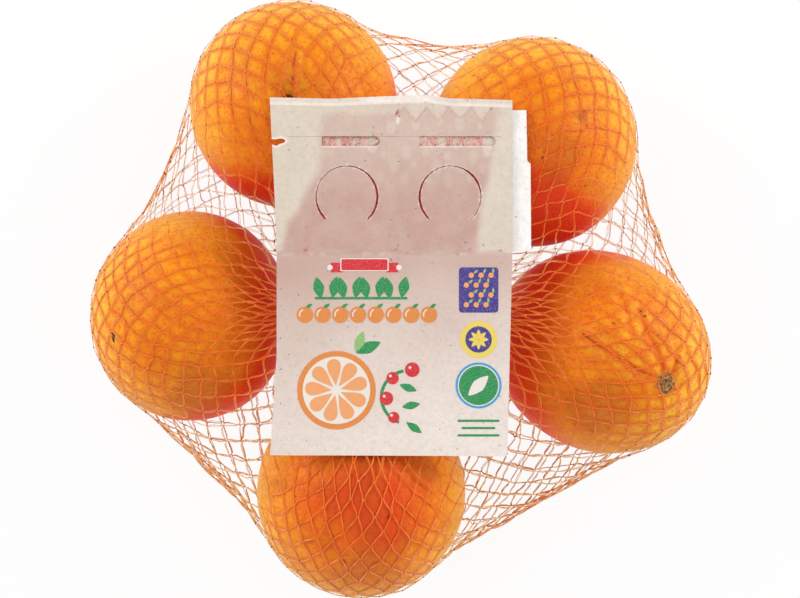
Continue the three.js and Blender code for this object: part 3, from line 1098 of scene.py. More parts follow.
def off_the_fruit(places: Array) -> Array:
    """About how far places lie off the nearest peel, in millimetres."""
    return np.min([(orange.reach(places) - 1.0) * orange.radii[0] for orange in ORANGES], axis=0)


def light_through(places: Array) -> Array:
    """How much light is painted into the net's colour at places, from 0 to 1.

    It is most beside the fruit, and a little on the flanks that face out of the bag.

    Args:
        places: Places in the bag's axes, as (..., 3).

    Returns:
        One value for each place.
    """
    beside, outer = [], []
    for orange in ORANGES:
        level = places * (1.0, 1.0, 0.0) + (0.0, 0.0, orange.radii[2])
        beside.append((orange.reach(level) - 1.0) * orange.radii[0])
        outer.append((places - orange.middle)[..., :2] @ unit(np.array(orange.place)) / orange.radii[0])
    nearest = np.argmin(beside, axis=0)
    outer = np.choose(nearest, outer)
    beside = np.min(beside, axis=0)
    return 0.3 * ease(-24.0, -6.0, beside) * ease(-0.3, 0.5, outer) + 0.7 * ease(-6.0, 2.5, beside)


# ---- The net ---------------------------------------------------------------------------


def round_flat(share: Array) -> tuple[Array, Array]:
    """Where shares of the way round a flattened tube lie: across it and between its layers, -1 to 1."""
    across = np.where(share < 0.5, 1.0 - 4.0 * share, 4.0 * share - 3.0)
    return across, np.clip(3.0 * np.sin(2.0 * np.pi * share), -1.0, 1.0)


@dataclass(frozen=True)
class FlatLoop:
    """A ring of the tube, squashed flat along x."""

    x: float
    y: float
    z: float
    half_width: float
    half_depth: float = 1.6

    def at(self, share: Array) -> Array:
        """Points of the loop at shares of the way round from its +x end.

        Args:
            share: The shares, from 0 to 1.

        Returns:
            The points as (..., 3).
        """
        along, bulge = round_flat(share)
        x = self.x + self.half_width * along
        y = self.y + self.half_depth * bulge
        return np.stack([x, y, np.full_like(x, self.z)], axis=-1)


@dataclass
class Net:
    """The knitted tube, drawn tight over the fruit, with its flattened end and welded bottom.

    Its knots form rows round the tube, and each hangs from two knots of the row above. Their first
    rows are the tail, the flattened end that is glued into the label.
    """

    proud: float = 0.32
    columns: int = 68
    rows: int = 44
    tail_rows: int = 12
    strand: float = 6.1
    # How it is drawn in: a pass shortens each stretched strand by a share, and evens the knots out.
    passes: int = 900
    pull: float = 0.5
    even: float = 0.04
    unevenness: float = 0.12
    jitter: float = 0.3
    floor: float = 0.3
    mouth: FlatLoop = FlatLoop(x=-3.0, y=-3.0, z=74.0, half_width=37.0)
    seam: FlatLoop = FlatLoop(x=0.0, y=4.0, z=2.6, half_width=22.0)
    start_radius: float = 122.0
    start_height: float = 84.0
    # The glued end, which is gathered in bunches, and the peaks of its cut edge.
    tail_top: float = 64.0
    tail_z: float = 78.64
    tail_layer: float = 0.09
    bunch: float = 7.9
    bunch_at: float = 1.2
    peak: float = 4.6
    crest: float = 68.9
    crest_drop: float = 5.0
    window_gaps: tuple[tuple[float, float, float, float], ...] = (
        (-21.9, 55.6, 0.9, 1.2),
        (-16.8, 56.0, 1.5, 1.9),
        (-10.2, 55.0, 2.1, 3.1),
        (7.6, 56.2, 1.2, 1.5),
        (14.5, 56.0, 1.8, 2.3),
        (19.5, 55.2, 1.2, 2.0),
        (23.0, 56.4, 1.0, 1.6),
        (30.6, 54.2, 1.8, 3.8),
    )
    # The filaments' radius, how far they part, how much thicker they are in the ropes at the bag's
    # outline and how much painted shade darkens them there, and how their thickness falls from the
    # bag's foot to its label.
    filament: float = 0.108
    filament_gap: float = 0.27
    bunched: float = 0.9
    rope_shade: float = 0.35
    glued_thickness: float = 1.4
    thickness_by_y: tuple[Pair, ...] = ((-60.0, 1.35), (-20.0, 1.1), (20.0, 0.76), (80.0, 0.74))
    # A knot's half size across, down and out, and how far each yarn leans to its neighbour there.
    knot: Triple = (0.33, 0.55, 0.26)
    knot_floor: float = 0.35
    knot_lean: float = 0.30
    steps: int = 4
    sectors: int = 4
    headings: int = 180
    seed: int = 11
    knots: Array = field(init=False)
    rest: Array = field(init=False)
    outline: Array = field(init=False)

    def __post_init__(self) -> None:
        """Draws the net in over the fruit."""
        random = default_rng(self.seed)
        self.rest = self.strand * self.strand_lengths(random)
        net = self.draw_in()
        net[1:-1] += self.jitter * random.standard_normal(net[1:-1].shape).clip(-2.0, 2.0)
        for orange in ORANGES:
            orange.push_out(net[1:-1], self.proud)
        net[..., 2] = np.maximum(net[..., 2], self.floor)
        self.knots = np.concatenate([self.tail(random), net])

    def shares(self, rows: Array) -> Array:
        """How far round the tube each knot of each row starts, from 0 to 1."""
        return np.mod((np.arange(self.columns)[None, :] - rows[:, None] / 2.0) / self.columns, 1.0)

    def strand_lengths(self, random: Generator) -> Array:
        """Relative strand lengths, uneven from strand to strand and from place to place.

        Args:
            random: The source of unevenness.

        Returns:
            The lengths of both strands below each knot, as (2, rows, columns).
        """
        shape = (2, self.rows, self.columns)
        length = 1.0 + self.unevenness * np.clip(random.standard_normal(shape), -2.0, 2.0)
        round_ = np.linspace(0.0, 2.0 * np.pi, self.columns, endpoint=False)[None, None, :]
        down = np.linspace(0.0, 1.0, self.rows)[None, :, None]
        for waves in range(2, 8):
            phase = random.uniform(0.0, 2.0 * np.pi, 2)
            twist = 9.0 * down * random.uniform(-1, 1)
            lengthwise = np.sin(waves * 2.3 * down + phase[1])
            length += 0.022 * np.sin(waves * round_ + phase[0] + twist) * lengthwise
        return length

    def start(self) -> Array:
        """The loose tube that the net is drawn in from.

        Returns:
            The knots as (rows, columns, 3).
        """
        rows = np.arange(self.rows + 1)
        share = self.shares(rows)
        t = (rows / self.rows)[:, None]
        flat = np.where((t < 0.5)[..., None], self.mouth.at(share), self.seam.at(share))
        out = np.sin(np.pi * t)[..., None].clip(0.0) ** 0.7
        angle = 2.0 * np.pi * share
        level = np.broadcast_to(self.start_height * (0.5 + 0.5 * np.cos(np.pi * t)), share.shape)
        x, y = self.start_radius * np.cos(angle), self.start_radius * np.sin(angle)
        wide = np.stack([x, y, level], axis=-1)
        return flat + out * (wide - flat)

    def tighten(self, upper: Array, lower: Array, rest: Array) -> tuple[Array, Array]:
        """Shortens the stretched ones of a set of strands from both their ends.

        Args:
            upper: The strands' upper ends.
            lower: Their lower ends.
            rest: Their unstretched lengths.

        Returns:
            The upper and the lower ends, moved.
        """
        reach = lower - upper
        length = np.linalg.norm(reach, axis=-1)
        share = self.pull * np.maximum(length - rest, 0.0) / (2.0 * np.maximum(length, 1e-6))
        move = share[..., None] * reach
        return upper + move, lower - move

    def draw_in(self) -> Array:
        """Pulls the tube tight over the fruit, knot by knot and strand by strand.

        Returns:
            The knots where they come to rest.
        """
        knots = self.start()
        mouth, seam = knots[0].copy(), knots[-1].copy()
        for _ in range(self.passes):
            for first in (0, 1):
                upper = slice(first, self.rows, 2)
                lower = slice(first + 1, self.rows + 1, 2)
                knots[upper], knots[lower] = self.tighten(knots[upper], knots[lower], self.rest[0, upper])
                beside = np.roll(knots[lower], -1, axis=1)
                knots[upper], beside = self.tighten(knots[upper], beside, self.rest[1, upper])
                knots[lower] = np.roll(beside, 1, axis=1)
            above = knots[:-2] + np.roll(knots[:-2], 1, axis=1)
            below = knots[2:] + np.roll(knots[2:], -1, axis=1)
            knots[1:-1] += self.even * ((above + below) / 4.0 - knots[1:-1])
            for orange in ORANGES:
                orange.push_out(knots[1:-1], self.proud)
            knots[0], knots[-1] = mouth, seam
        return knots

    def tail(self, random: Generator) -> Array:
        """The flattened end's knots, from its cut edge down to the mouth.

        Args:
            random: The source of unevenness.

        Returns:
            The knots as (rows, columns, 3).
        """
        rows = np.arange(self.tail_rows)
        share = self.shares(rows - self.tail_rows)
        along, layer = round_flat(share)
        level = np.linspace(self.tail_top, self.mouth.y, self.tail_rows + 1)[:-1]
        left = np.interp(level, [self.mouth.y, 17.0, self.tail_top], [-40.0, -40.0, -27.5])
        right = np.interp(level, [self.mouth.y, 17.0, self.tail_top], [34.0, 30.5, 29.0])
        x = (left + right)[:, None] / 2.0 + along * (right - left)[:, None] / 2.0
        turn = np.cos(np.pi * (self.tail_top - level) / (1.4 * self.bunch))[:, None]
        fade = ease(25.0, 50.0, level)[:, None]
        phase = 2.0 * np.pi * (x - self.bunch_at) / self.bunch
        x -= fade * turn * 0.85 * self.bunch / (2.0 * np.pi) * np.sin(phase)
        crest = self.peak * np.abs(np.cos(np.pi * (x - self.bunch_at) / self.bunch)) ** 1.5
        y = level[:, None] + crest * ease(44.0, self.tail_top, level)[:, None]
        rise = np.interp(level, [self.mouth.y, 12.0], [self.mouth.z, self.tail_z])[:, None]
        ragged = y + random.uniform(-0.7, 0.7, x.shape)
        z = rise + pressed_up(ragged) + self.tail_layer * layer
        return np.stack([x + random.uniform(-0.35, 0.35, x.shape), ragged, z], axis=-1)

    def surface(self) -> tuple[Array, Array, Array]:
        """At each knot the way round the tube, the way down it and the way out, length 1.

        Returns:
            The three directions, each as (rows, columns, 3).
        """
        across = unit(np.roll(self.knots, -1, axis=1) - np.roll(self.knots, 1, axis=1))
        below = np.concatenate([self.knots[1:], self.knots[-1:]])
        above = np.concatenate([self.knots[:1], self.knots[:-1]])
        down = unit(below - above)
        return across, down, unit(np.cross(down, across))

    def yarns(self, random: Generator) -> Array:
        """Every filament's line.

        Each yarn runs in a zigzag from knot to knot and turns back at each, where it touches its
        neighbour. It is three filaments: two part between the knots and cross here and there, and
        one strays between them.

        Args:
            random: The source of unevenness.

        Returns:
            The lines as (filaments, points, 3).
        """
        across, _, out = self.surface()
        rows = np.arange(len(self.knots))
        lines = []
        for family in (0, 1):
            column = (np.arange(self.columns)[:, None] + (rows[None, :] + family) // 2) % self.columns
            lean = np.where(rows % 2 == 0, -1.0, 1.0) * (1.0 if family == 0 else -1.0)
            path = self.knots[rows, column] + self.knot_lean * lean[None, :, None] * across[rows, column]
            lines.extend(self.filaments(path, out[rows, column], random))
        return np.concatenate(lines)

    def filaments(self, path: Array, out: Array, random: Generator) -> tuple[Array, ...]:
        """The three filaments of each yarn of a family.

        Args:
            path: The knots that each yarn passes, as (yarns, rows, 3).
            out: The way out at each of them.
            random: The source of unevenness.

        Returns:
            The three sets of lines, each as (yarns, points, 3).
        """
        count, rows, _ = path.shape
        before, after = 2 * path[:, :1] - path[:, 1:2], 2 * path[:, -1:] - path[:, -2:-1]
        padded = np.concatenate([before, path, after], axis=1)
        p0, p1, p2, p3 = (padded[:, k : k + rows - 1, None] for k in range(4))
        t = (np.arange(self.steps) / self.steps)[None, None, :, None]
        smooth = 0.5 * (
            2 * p1
            + (p2 - p0) * t
            + (2 * p0 - 5 * p1 + 4 * p2 - p3) * t**2
            + (3 * p1 - p0 - 3 * p2 + p3) * t**3
        )
        normal = out[:, :-1, None] * (1 - t) + out[:, 1:, None] * t
        side = unit(np.cross(p2 - p1, normal))
        shape = (count, rows - 1, 1, 1)
        middle = np.sin(np.pi * t)
        slack = np.maximum(self.strand - np.linalg.norm(p2 - p1, axis=-1, keepdims=True), 0.0)
        sway = random.uniform(-1.0, 1.0, shape) * np.minimum(0.35 * slack + 0.2, 0.9) * middle
        lift = random.uniform(0.0, 1.0, shape) * np.minimum(0.15 * slack, 0.5) * middle
        free = ease(0.6, 2.4, off_the_fruit((p1 + p2) / 2))[..., None]
        gap = self.filament_gap * random.uniform(0.25, 1.3, shape) * (0.4 + 0.6 * free)
        crossing = random.random(shape) < 0.3
        parting = np.where(crossing, np.cos(np.pi * t), 0.35 + 0.65 * middle) * gap
        roll = 0.09 * random.uniform(-1.0, 1.0, shape) * middle
        stray = (0.2 + 0.35 * free) * random.uniform(-1.0, 1.0, shape) * middle
        sets = []
        for sign, loose in ((-1.0, 0.0), (1.0, 0.0), (0.0, 1.0)):
            line = smooth + side * (sway + sign * parting + loose * stray) + normal * (lift + sign * roll)
            line = line.reshape(count, -1, 3)
            line = np.concatenate([line, path[:, -1:]], axis=1)
            line[..., 2] = np.maximum(line[..., 2], self.filament + 0.02)
            sets.append(line)
        return tuple(sets)

    def thread_distance(self, places: Array) -> Array:
        """How far places lie from the nearest strand, seen along the way out of the bag.

        Args:
            places: Places as (n, 3).

        Returns:
            The distances, less what the net stands off the peel.
        """
        rows = self.knots[self.tail_rows :]
        shares = np.linspace(0.0, 1.0, 12, endpoint=False)[:, None, None, None]
        strands = [(rows[:-1], rows[1:]), (rows[:-1], np.roll(rows[1:], -1, axis=1))]
        threads = np.concatenate([(a + shares * (b - a)).reshape(-1, 3) for a, b in strands])
        tree = KDTree(len(threads))
        for index, point in enumerate(threads):
            tree.insert(point, index)
        tree.balance()
        return np.array([max(tree.find(place)[2] - self.proud, 0.0) for place in places])

    def build_yarns(self, dyed: Material, fused: Material) -> list[Object]:
        """Makes the filaments, as one piece for each share of the tube and one for its glued end.

        Args:
            dyed: The material of the open net.
            fused: That of the end which is glued into the label.

        Returns:
            The pieces.
        """
        random = default_rng(self.seed + 1)
        lines = self.yarns(random)
        thickness = 1.0 + 0.18 * random.standard_normal(lines.shape[:2]).clip(-1.5, 1.5)
        self.find_outline(lines)
        thickness *= 1.0 + self.bunched * self.at_outline(lines)
        thickness *= np.interp(lines[..., 1], *zip(*self.thickness_by_y))
        glued = (self.tail_rows - 2) * self.steps
        self.part_round_ovals(lines[:, : glued + 1])
        yarn = np.arange(len(lines)) % self.columns
        sector = yarn * self.sectors // self.columns
        end = (slice(None), slice(0, glued + 1))
        pieces = [self.sweep("net_glued_end", lines[end], self.glued_thickness * thickness[end], fused)]
        for part in range(self.sectors):
            rest = (sector == part, slice(glued, None))
            pieces.append(self.sweep(f"net_yarn_{part + 1}", lines[rest], thickness[rest], dyed))
        return pieces

    def heading_of(self, places: Array) -> Array:
        """Which of the outline's headings each place lies at."""
        around = np.arctan2(places[..., 1], places[..., 0]) / (2.0 * np.pi)
        return ((around % 1.0) * self.headings).astype(int) % self.headings

    def find_outline(self, lines: Array) -> None:
        """Keeps how far out the filaments reach at each heading, seen from above.

        Args:
            lines: The filaments' lines.
        """
        self.outline = np.zeros(self.headings)
        out = np.hypot(lines[..., 0], lines[..., 1])
        np.maximum.at(self.outline, self.heading_of(lines).ravel(), out.ravel())

    def at_outline(self, places: Array) -> Array:
        """Where the net gathers in ropes, on the bag's outline between the oranges, from 0 to 1."""
        inside = self.outline[self.heading_of(places)] - np.hypot(places[..., 0], places[..., 1])
        return ease(4.0, 1.0, inside) * ease(1.0, 4.0, off_the_fruit(places))

    def sweep(self, name: str, lines: Array, thickness: Array, material: Material) -> Object:
        """Makes filaments along lines, as one piece.

        Args:
            name: The piece's name.
            lines: The lines as (filaments, points, 3).
            thickness: Their relative thickness as (filaments, points).
            material: The filaments' finish.

        Returns:
            The piece.
        """
        curve = bpy.data.curves.new("yarn_curve", "CURVE")
        curve.dimensions = "3D"
        curve.bevel_depth = self.filament * MM
        curve.bevel_resolution = 0
        curve.use_fill_caps = True
        for line, width in zip(lines, thickness):
            spline = curve.splines.new("POLY")
            spline.points.add(len(line) - 1)
            places = np.concatenate([line * MM, np.ones((len(line), 1))], axis=1)
            spline.points.foreach_set("co", places.ravel())
            spline.points.foreach_set("radius", width)
        holder = add_to_scene("yarn_holder", curve)
        bpy.context.view_layer.update()
        mesh = bpy.data.meshes.new_from_object(holder)
        mesh.name = name
        mesh.materials.clear()
        points = read_points(mesh) / MM
        # Painted light where light comes through the net, lessened by painted shade in the ropes.
        shade = 1.0 - self.rope_shade * self.at_outline(points)
        write_attributes(mesh, open=light_through(points) * shade)
        bpy.data.objects.remove(holder)
        bpy.data.curves.remove(curve)
        return declare(add_object(mesh, material), Slot.YARN, "net_bag")

    def build_knots(self, material: Material) -> Object:
        """Makes the knitted knots, long along the tube, as one piece.

        Args:
            material: The knots' finish.

        Returns:
            The piece.
        """
        random = default_rng(self.seed + 2)
        across, down, out = self.surface()
        seed = bmesh.new()
        bmesh.ops.create_icosphere(seed, subdivisions=1, radius=1.0)
        template = np.array([vertex.co[:] for vertex in seed.verts])
        corners = np.array([[vertex.index for vertex in face.verts] for face in seed.faces])
        seed.free()
        first = self.tail_rows - 1
        places = self.knots[first:-1].reshape(-1, 3).copy()
        places[:, 2] = np.maximum(places[:, 2], self.knot_floor)
        axes = np.stack([across, down, out], axis=-2)[first:-1].reshape(-1, 3, 3)
        half = np.array(self.knot) * random.uniform(0.75, 1.25, (len(places), 1))
        points = (template[None] * half[:, None]) @ axes + places[:, None]
        faces = corners[None] + (np.arange(len(places)) * len(template))[:, None, None]
        mesh = bpy.data.meshes.new("net_knots")
        mesh.from_pydata((points.reshape(-1, 3) * MM).tolist(), [], faces.reshape(-1, 3).tolist())
        # Where light comes through the net, the knots are painted the darker brown they show against it.
        write_attributes(mesh, open=light_through(read_points(mesh) / MM))
        return declare(add_object(mesh, material), Slot.YARN, "net_bag")

    def build_seam(self, material: Material) -> Object:
        """Makes the crimped weld that shuts the tube below the middle of the bag.

        Args:
            material: The weld's finish.

        Returns:
            The piece.
        """
        length, thickness, ribs = 9.0, 0.7, 6
        bm = bmesh.new()
        bmesh.ops.create_grid(bm, x_segments=60, y_segments=36, size=0.5)
        for vertex in bm.verts:
            share = vertex.co.y
            x = self.seam.x + 2.0 * self.seam.half_width * vertex.co.x
            wave = 0.22 * math.cos(2.0 * math.pi * ribs * share) + 0.15 * math.sin(x / 3.1)
            vertex.co = (x, self.seam.y + length * share + 0.3 * math.sin(x / 2.3), self.seam.z - 0.4 + wave)
        bmesh.ops.solidify(bm, geom=bm.faces[:], thickness=thickness)
        bmesh.ops.recalc_face_normals(bm, faces=bm.faces[:])
        mesh = mesh_from(bm, "net_seam_weld")
        write_points(mesh, read_points(mesh))
        return declare(add_object(mesh, material), Slot.YARN)

    def ovals(self) -> list[tuple[float, float, float, float, float]]:
        """The gaps between the bunched strands near the cut edge, where no glue took.

        Returns:
            For each its x and y, its half width and half height, and how much it shows.
        """
        gaps = [(*gap, 0.85) for gap in self.window_gaps]
        for row, level in enumerate((62.0, 51.4, 47.0, 42.6)):
            for column in range(-1, 5):
                stagger = 0.5 if row % 2 == 0 else 0.0
                x = self.bunch_at + self.bunch * (column + stagger) + 0.8 * math.sin(2.1 * row + 1.7 * column)
                y = level + 0.9 * math.sin(1.3 * column + row)
                size = 0.85 + 0.3 * math.sin(3.7 * column + 2.3 * row)
                gaps.append((x, y, 1.7 * size, 2.5 * size, 0.5 - 0.1 * row))
        return gaps

    def part_round_ovals(self, lines: Array) -> None:
        """Moves the glued end's strands aside round its gaps, in place.

        Args:
            lines: The strands' lines, which this changes.
        """
        for x, y, half_width, half_height, _ in self.ovals():
            aside = lines[..., 0] - x
            edge = half_width * np.sqrt(np.clip(1.0 - ((lines[..., 1] - y) / half_height) ** 2, 0.0, 1.0))
            inside = np.abs(aside) < edge
            lines[..., 0] = np.where(inside, x + np.where(aside < 0.0, -1.0, 1.0) * edge, lines[..., 0])

    def tail_shadow(self, places: Array) -> Array:
        """How much of the flattened, glued end shows through at places of the label, from 0 to 1.

        Its cut edge runs in peaks from bunch to bunch, and below them pale ovals are left between
        the strands. Further down the end shows as a soft, mottled patch.

        Args:
            places: Places of the label as (n, 2).

        Returns:
            One value for each place.
        """
        flat = np.column_stack([places, np.zeros(len(places))])
        x = places[:, 0] + 1.1 * swell(flat, 7.0, 43)
        y = places[:, 1]
        left = np.interp(y, [17.0, 26.0, 36.0, 46.0, 64.0], [-42.5, -40.5, -34.6, -29.0, -28.0])
        right = np.interp(y, [17.0, 27.0, 37.0, 53.0, 60.0], [27.0, 27.8, 29.5, 33.0, 34.3])
        wide = ease(-2.4, 2.4, x - left) * ease(-2.0, 2.0, right - x)
        folded = np.abs(np.mod((places[:, 0] - self.bunch_at) / self.bunch + 0.5, 1.0) - 0.5) * 2.0
        sharp = ease(-7.0, -1.0, x)
        worn = self.crest - 2.6 + 1.4 * swell(flat, 5.0, 44)
        drop = self.crest_drop * (1.0 + 0.6 * swell(flat * (1.0, 0.0, 0.0), 6.5, 48))
        below = sharp * (self.crest - drop * folded) + (1.0 - sharp) * worn - y
        below += 0.5 * swell(flat, 3.4, 45) + 0.3 * swell(flat, 1.2, 46)
        soft = 0.6 + 1.4 * (1.0 - sharp)
        mottle = 1.0 + 0.2 * swell(flat, 5.0, 41) + 0.12 * swell(flat, 1.7, 42)
        tone = (0.5 + 0.42 * ease(58.0, 32.0, y)) * mottle
        gaps, rims = np.zeros(len(places)), np.zeros(len(places))
        for at_x, at_y, half_width, half_height, shows in self.ovals():
            out = np.hypot((places[:, 0] - at_x) / half_width, (y - at_y) / half_height)
            gaps = np.maximum(gaps, shows * ease(1.2, 0.7, out))
            rims = np.maximum(rims, shows * bell(out - 1.3, 0.22))
        hem = 0.35 * sharp * bell(below - 0.3, 0.5)
        tone = tone * (1.0 - 0.8 * gaps) + 0.12 * rims + hem
        above = 0.14 * ease(-5.5, -1.5, below) * (1.0 + 0.5 * swell(flat, 4.0, 47))
        return np.clip(wide * np.maximum(tone * ease(-soft, soft, below), above), 0.0, 1.0)


# ---- The label -------------------------------------------------------------------------


def pressed_up(y: Array) -> Array:
    """How far the net's end and the back sheet are drawn up to the front sheet at the tear strip."""
    return 0.47 * bell(y - TEAR_Y, 6.0)


def paper_grid(columns: int, rows: int, place: Callable, thickness: float, name: str) -> Mesh:
    """A sheet of small faces with a thickness, its underside at 0.

    Args:
        columns: How many faces across.
        rows: How many faces down.
        place: Turns shares across and down into x and y.
        thickness: The paper's thickness.
        name: The mesh's name.

    Returns:
        The mesh, in millimetres.
    """
    bm = bmesh.new()
    bmesh.ops.create_grid(bm, x_segments=columns, y_segments=rows, size=0.5)
    for vertex in bm.verts:
        x, y = place(vertex.co.x + 0.5, 0.5 - vertex.co.y)
        vertex.co = (x, y, 0.0)
    bmesh.ops.solidify(bm, geom=bm.faces[:], thickness=-thickness)
    bmesh.ops.recalc_face_normals(bm, faces=bm.faces[:])
    lowest = min(vertex.co.z for vertex in bm.verts)
    bmesh.ops.translate(bm, verts=bm.verts, vec=(0, 0, -lowest))
    return mesh_from(bm, name)


@dataclass
class FrontSheet:
    """The long printed sheet: glued along its top, hanging free below a fold."""

    under: float
    thickness: float = 0.3
    top: float = 71.7
    bottom: float = -55.6
    fold: float = FOLD_Y
    drop: float = 3.0
    corner_lift: float = 2.0
    finger_radius: float = 10.9
    finger_y: float = 36.4
    finger_x: Pair = (-19.3, 17.5)
    finger_from: float = -48.0
    finger_to: float = 228.0
    flap_slope: float = 0.009
    tear_y: float = TEAR_Y
    window_height: float = 3.4
    windows: tuple[Pair, ...] = ((-28.2, -7.6), (6.6, 33.6))
    notch: tuple[Pair, ...] = (
        *((-60.0, 57.0), (-60.0, 54.8), (-45.8, 54.9), (-44.2, 54.4), (-43.2, 55.1)),
        *((-41.9, 55.4), (-41.0, 56.1), (-41.4, 56.7), (-42.4, 57.1), (-44.4, 56.8)),
    )
    wide_cuts: tuple[tuple[Pair, ...], ...] = (
        ((2.0, 58.0), (216.0, 26.0)),
        ((190.0, 46.0), (38.0, 26.0)),
    )
    seal_line: float = 2.3
    fine_share: float = 0.7
    fine_from: float = 0.47

    def height(self, x: Array, y: Array) -> Array:
        """The underside's height above the floor.

        Args:
            x: The places' x.
            y: The places' y.

        Returns:
            The heights.
        """
        free = ease(0.0, 1.0, (self.fold - y) / (self.fold - self.bottom))
        cockle = 0.35 * np.sin(x / 13.0 + 0.6) * np.sin(y / 17.0 + 0.4)
        corner = self.corner_lift * ease(20.0, 55.0, -y) * ease(10.0, 45.0, -x)
        ripple = 0.12 * np.sin(x / 5.3 + y / 9.0) * np.sin(y / 6.1 + 1.0)
        away = y - self.fold + 0.4 * np.sin(x / 6.0) + 0.3 * np.sin(x / 1.9)
        crease = 0.10 * bell(away, 0.7) - 0.09 * bell(away + 1.4, 0.9)
        below = self.top_edge(x) - y
        weld = 0.2 * bell(below - self.seal_line, 0.4) - 0.12 * ease(2.0, 1.4, below)
        return self.under + 0.35 + cockle + ripple - self.drop * free + corner + crease + weld

    def crown(self, u: Array) -> Array:
        """How far the top edge rises above its mean, at shares of the width."""
        return np.interp(u, [0.0, 0.26, 0.48, 0.65, 0.74, 1.0], [0.0, -0.5, 0.4, 0.8, -0.3, -1.0])

    def top_edge(self, x: Array) -> Array:
        """The y of the top edge."""
        return self.top + self.crown((x + 46.7) / 86.3)

    def place(self, u: Array, v: Array) -> tuple[Array, Array]:
        """A place of the flat sheet, u across from the left and v down from the top.

        Args:
            u: Shares across.
            v: Shares down.

        Returns:
            The x and the y.
        """
        left = np.interp(v, [0.0, 0.4, 0.72, 1.0], [-46.7, -44.2, -44.3, -46.6])
        right = np.interp(v, [0.0, 0.42, 0.72, 1.0], [39.6, 39.6, 38.7, 37.9])
        x = left + (right - left) * u
        head = self.top + self.crown(u)
        foot = self.bottom - 0.5 * u
        return x, head + (foot - head) * v

    def fine_place(self, u: float, share: float) -> Pair:
        """A place of the flat sheet, with most rows of the grid above the fold."""
        v = np.interp(share, [0.0, self.fine_share, 1.0], [0.0, self.fine_from, 1.0])
        return self.place(u, v)

    def cutters(self) -> Mesh:
        """The notch, the tear windows and the finger cuts as closed prisms.

        Returns:
            The prisms in one mesh.
        """
        bm = bmesh.new()
        half, turns = self.window_height / 2, 20
        for start, end in self.windows:
            # A window is square at its left end and round at its right one.
            corners = [(start, self.tear_y + half), (start, self.tear_y - half)]
            for step in range(turns + 1):
                angle = math.pi * (step / turns - 0.5)
                corners.append((end - half + half * math.cos(angle), self.tear_y + half * math.sin(angle)))
            self.prism(bm, corners)
        self.prism(bm, self.notch)
        for side, x in enumerate(self.finger_x):
            self.finger_prism(bm, x, side)
        return mesh_from(bm, "label_cutters")

    def finger_prism(self, bm: BMesh, centre: float, side: int) -> None:
        """Adds a cut along an arc, wider where the flap has sprung away from the sheet.

        Args:
            bm: What it is added to.
            centre: The x of the arc's middle.
            side: 0 at the left, 1 at the right.
        """
        angles = np.radians(np.linspace(self.finger_from, self.finger_to, 90))
        gap = np.full_like(angles, 0.2)
        for heading, spread in self.wide_cuts[side]:
            gap = np.maximum(gap, 0.2 + 0.62 * bell(np.degrees(angles) - heading, spread))
        gap *= np.clip(np.minimum(angles - angles[0], angles[-1] - angles) / 0.06, 0.25, 1.0)
        ring = []
        for radii, order in ((self.finger_radius + gap / 2, 1), (self.finger_radius - gap / 2, -1)):
            x = centre + radii * np.cos(angles)
            y = self.finger_y + radii * np.sin(angles)
            ring.extend(list(zip(x, y))[::order])
        self.prism(bm, ring)

    def prism(self, bm: BMesh, corners: Sequence[Pair]) -> None:
        """Adds an upright closed prism over an outline.

        Args:
            bm: What it is added to.
            corners: The outline's corners, in order.
        """
        reach = 3.0
        ring = [bm.verts.new((x, y, -reach)) for x, y in corners]
        base = bm.faces.new(ring)
        raised = bmesh.ops.extrude_face_region(bm, geom=[base], use_keep_orig=True)["geom"]
        tops = [item for item in raised if isinstance(item, bmesh.types.BMVert)]
        bmesh.ops.translate(bm, verts=tops, vec=(0, 0, 2 * reach))
        bmesh.ops.recalc_face_normals(bm, faces=bm.faces[:])

    def build(self, material: Material, net: Net) -> Object:
        """Makes the sheet: flat and cut first, then lifted into its waves and folds.

        Args:
            material: The paper.
            net: The net, whose flattened end shows through.

        Returns:
            The piece.
        """
        sheet = paper_grid(150, 170, self.fine_place, self.thickness, "label_front_sheet")
        piece = add_object(sheet, material, smooth=False)
        cut(piece, self.cutters())
        mesh = piece.data
        points = read_points(mesh)
        x, y = points.T[:2]
        above = ease(15.0, 17.5, y + 0.5 * np.sin(x / 3.0))
        lower = np.interp(y, [-50.0, -8.0, 12.0], [0.28, 0.62, 0.8]) + 0.12 * swell(points, 19.0, 35)
        tail = net.tail_shadow(points[:, :2]) * above + lower * (1.0 - above)
        write_attributes(mesh, tail=tail, stain=self.stain(points), worn=self.wear(points))
        points[:, 2] += self.height(x, y) - self.flap_drop(x, y)
        write_points(mesh, points)
        return declare(piece, Slot.FRONT, "label_front")

    def from_cuts(self, x: Array, y: Array) -> Array:
        """How far places lie outside the circle of the nearer finger cut, below 0 inside it."""
        away = np.min([np.hypot(x - centre, y - self.finger_y) for centre in self.finger_x], axis=0)
        return away - self.finger_radius

    def flap_drop(self, x: Array, y: Array, margin: float = 0.0) -> Array:
        """How far the finger flaps have sunk below the sheet around them.

        Args:
            x: The places' x.
            y: The places' y.
            margin: How far past the cut the flap is taken to reach.

        Returns:
            The drop at each place.
        """
        inside = self.from_cuts(x, y) < margin
        return self.flap_slope * inside * np.maximum(y - self.hinge, 0.0)

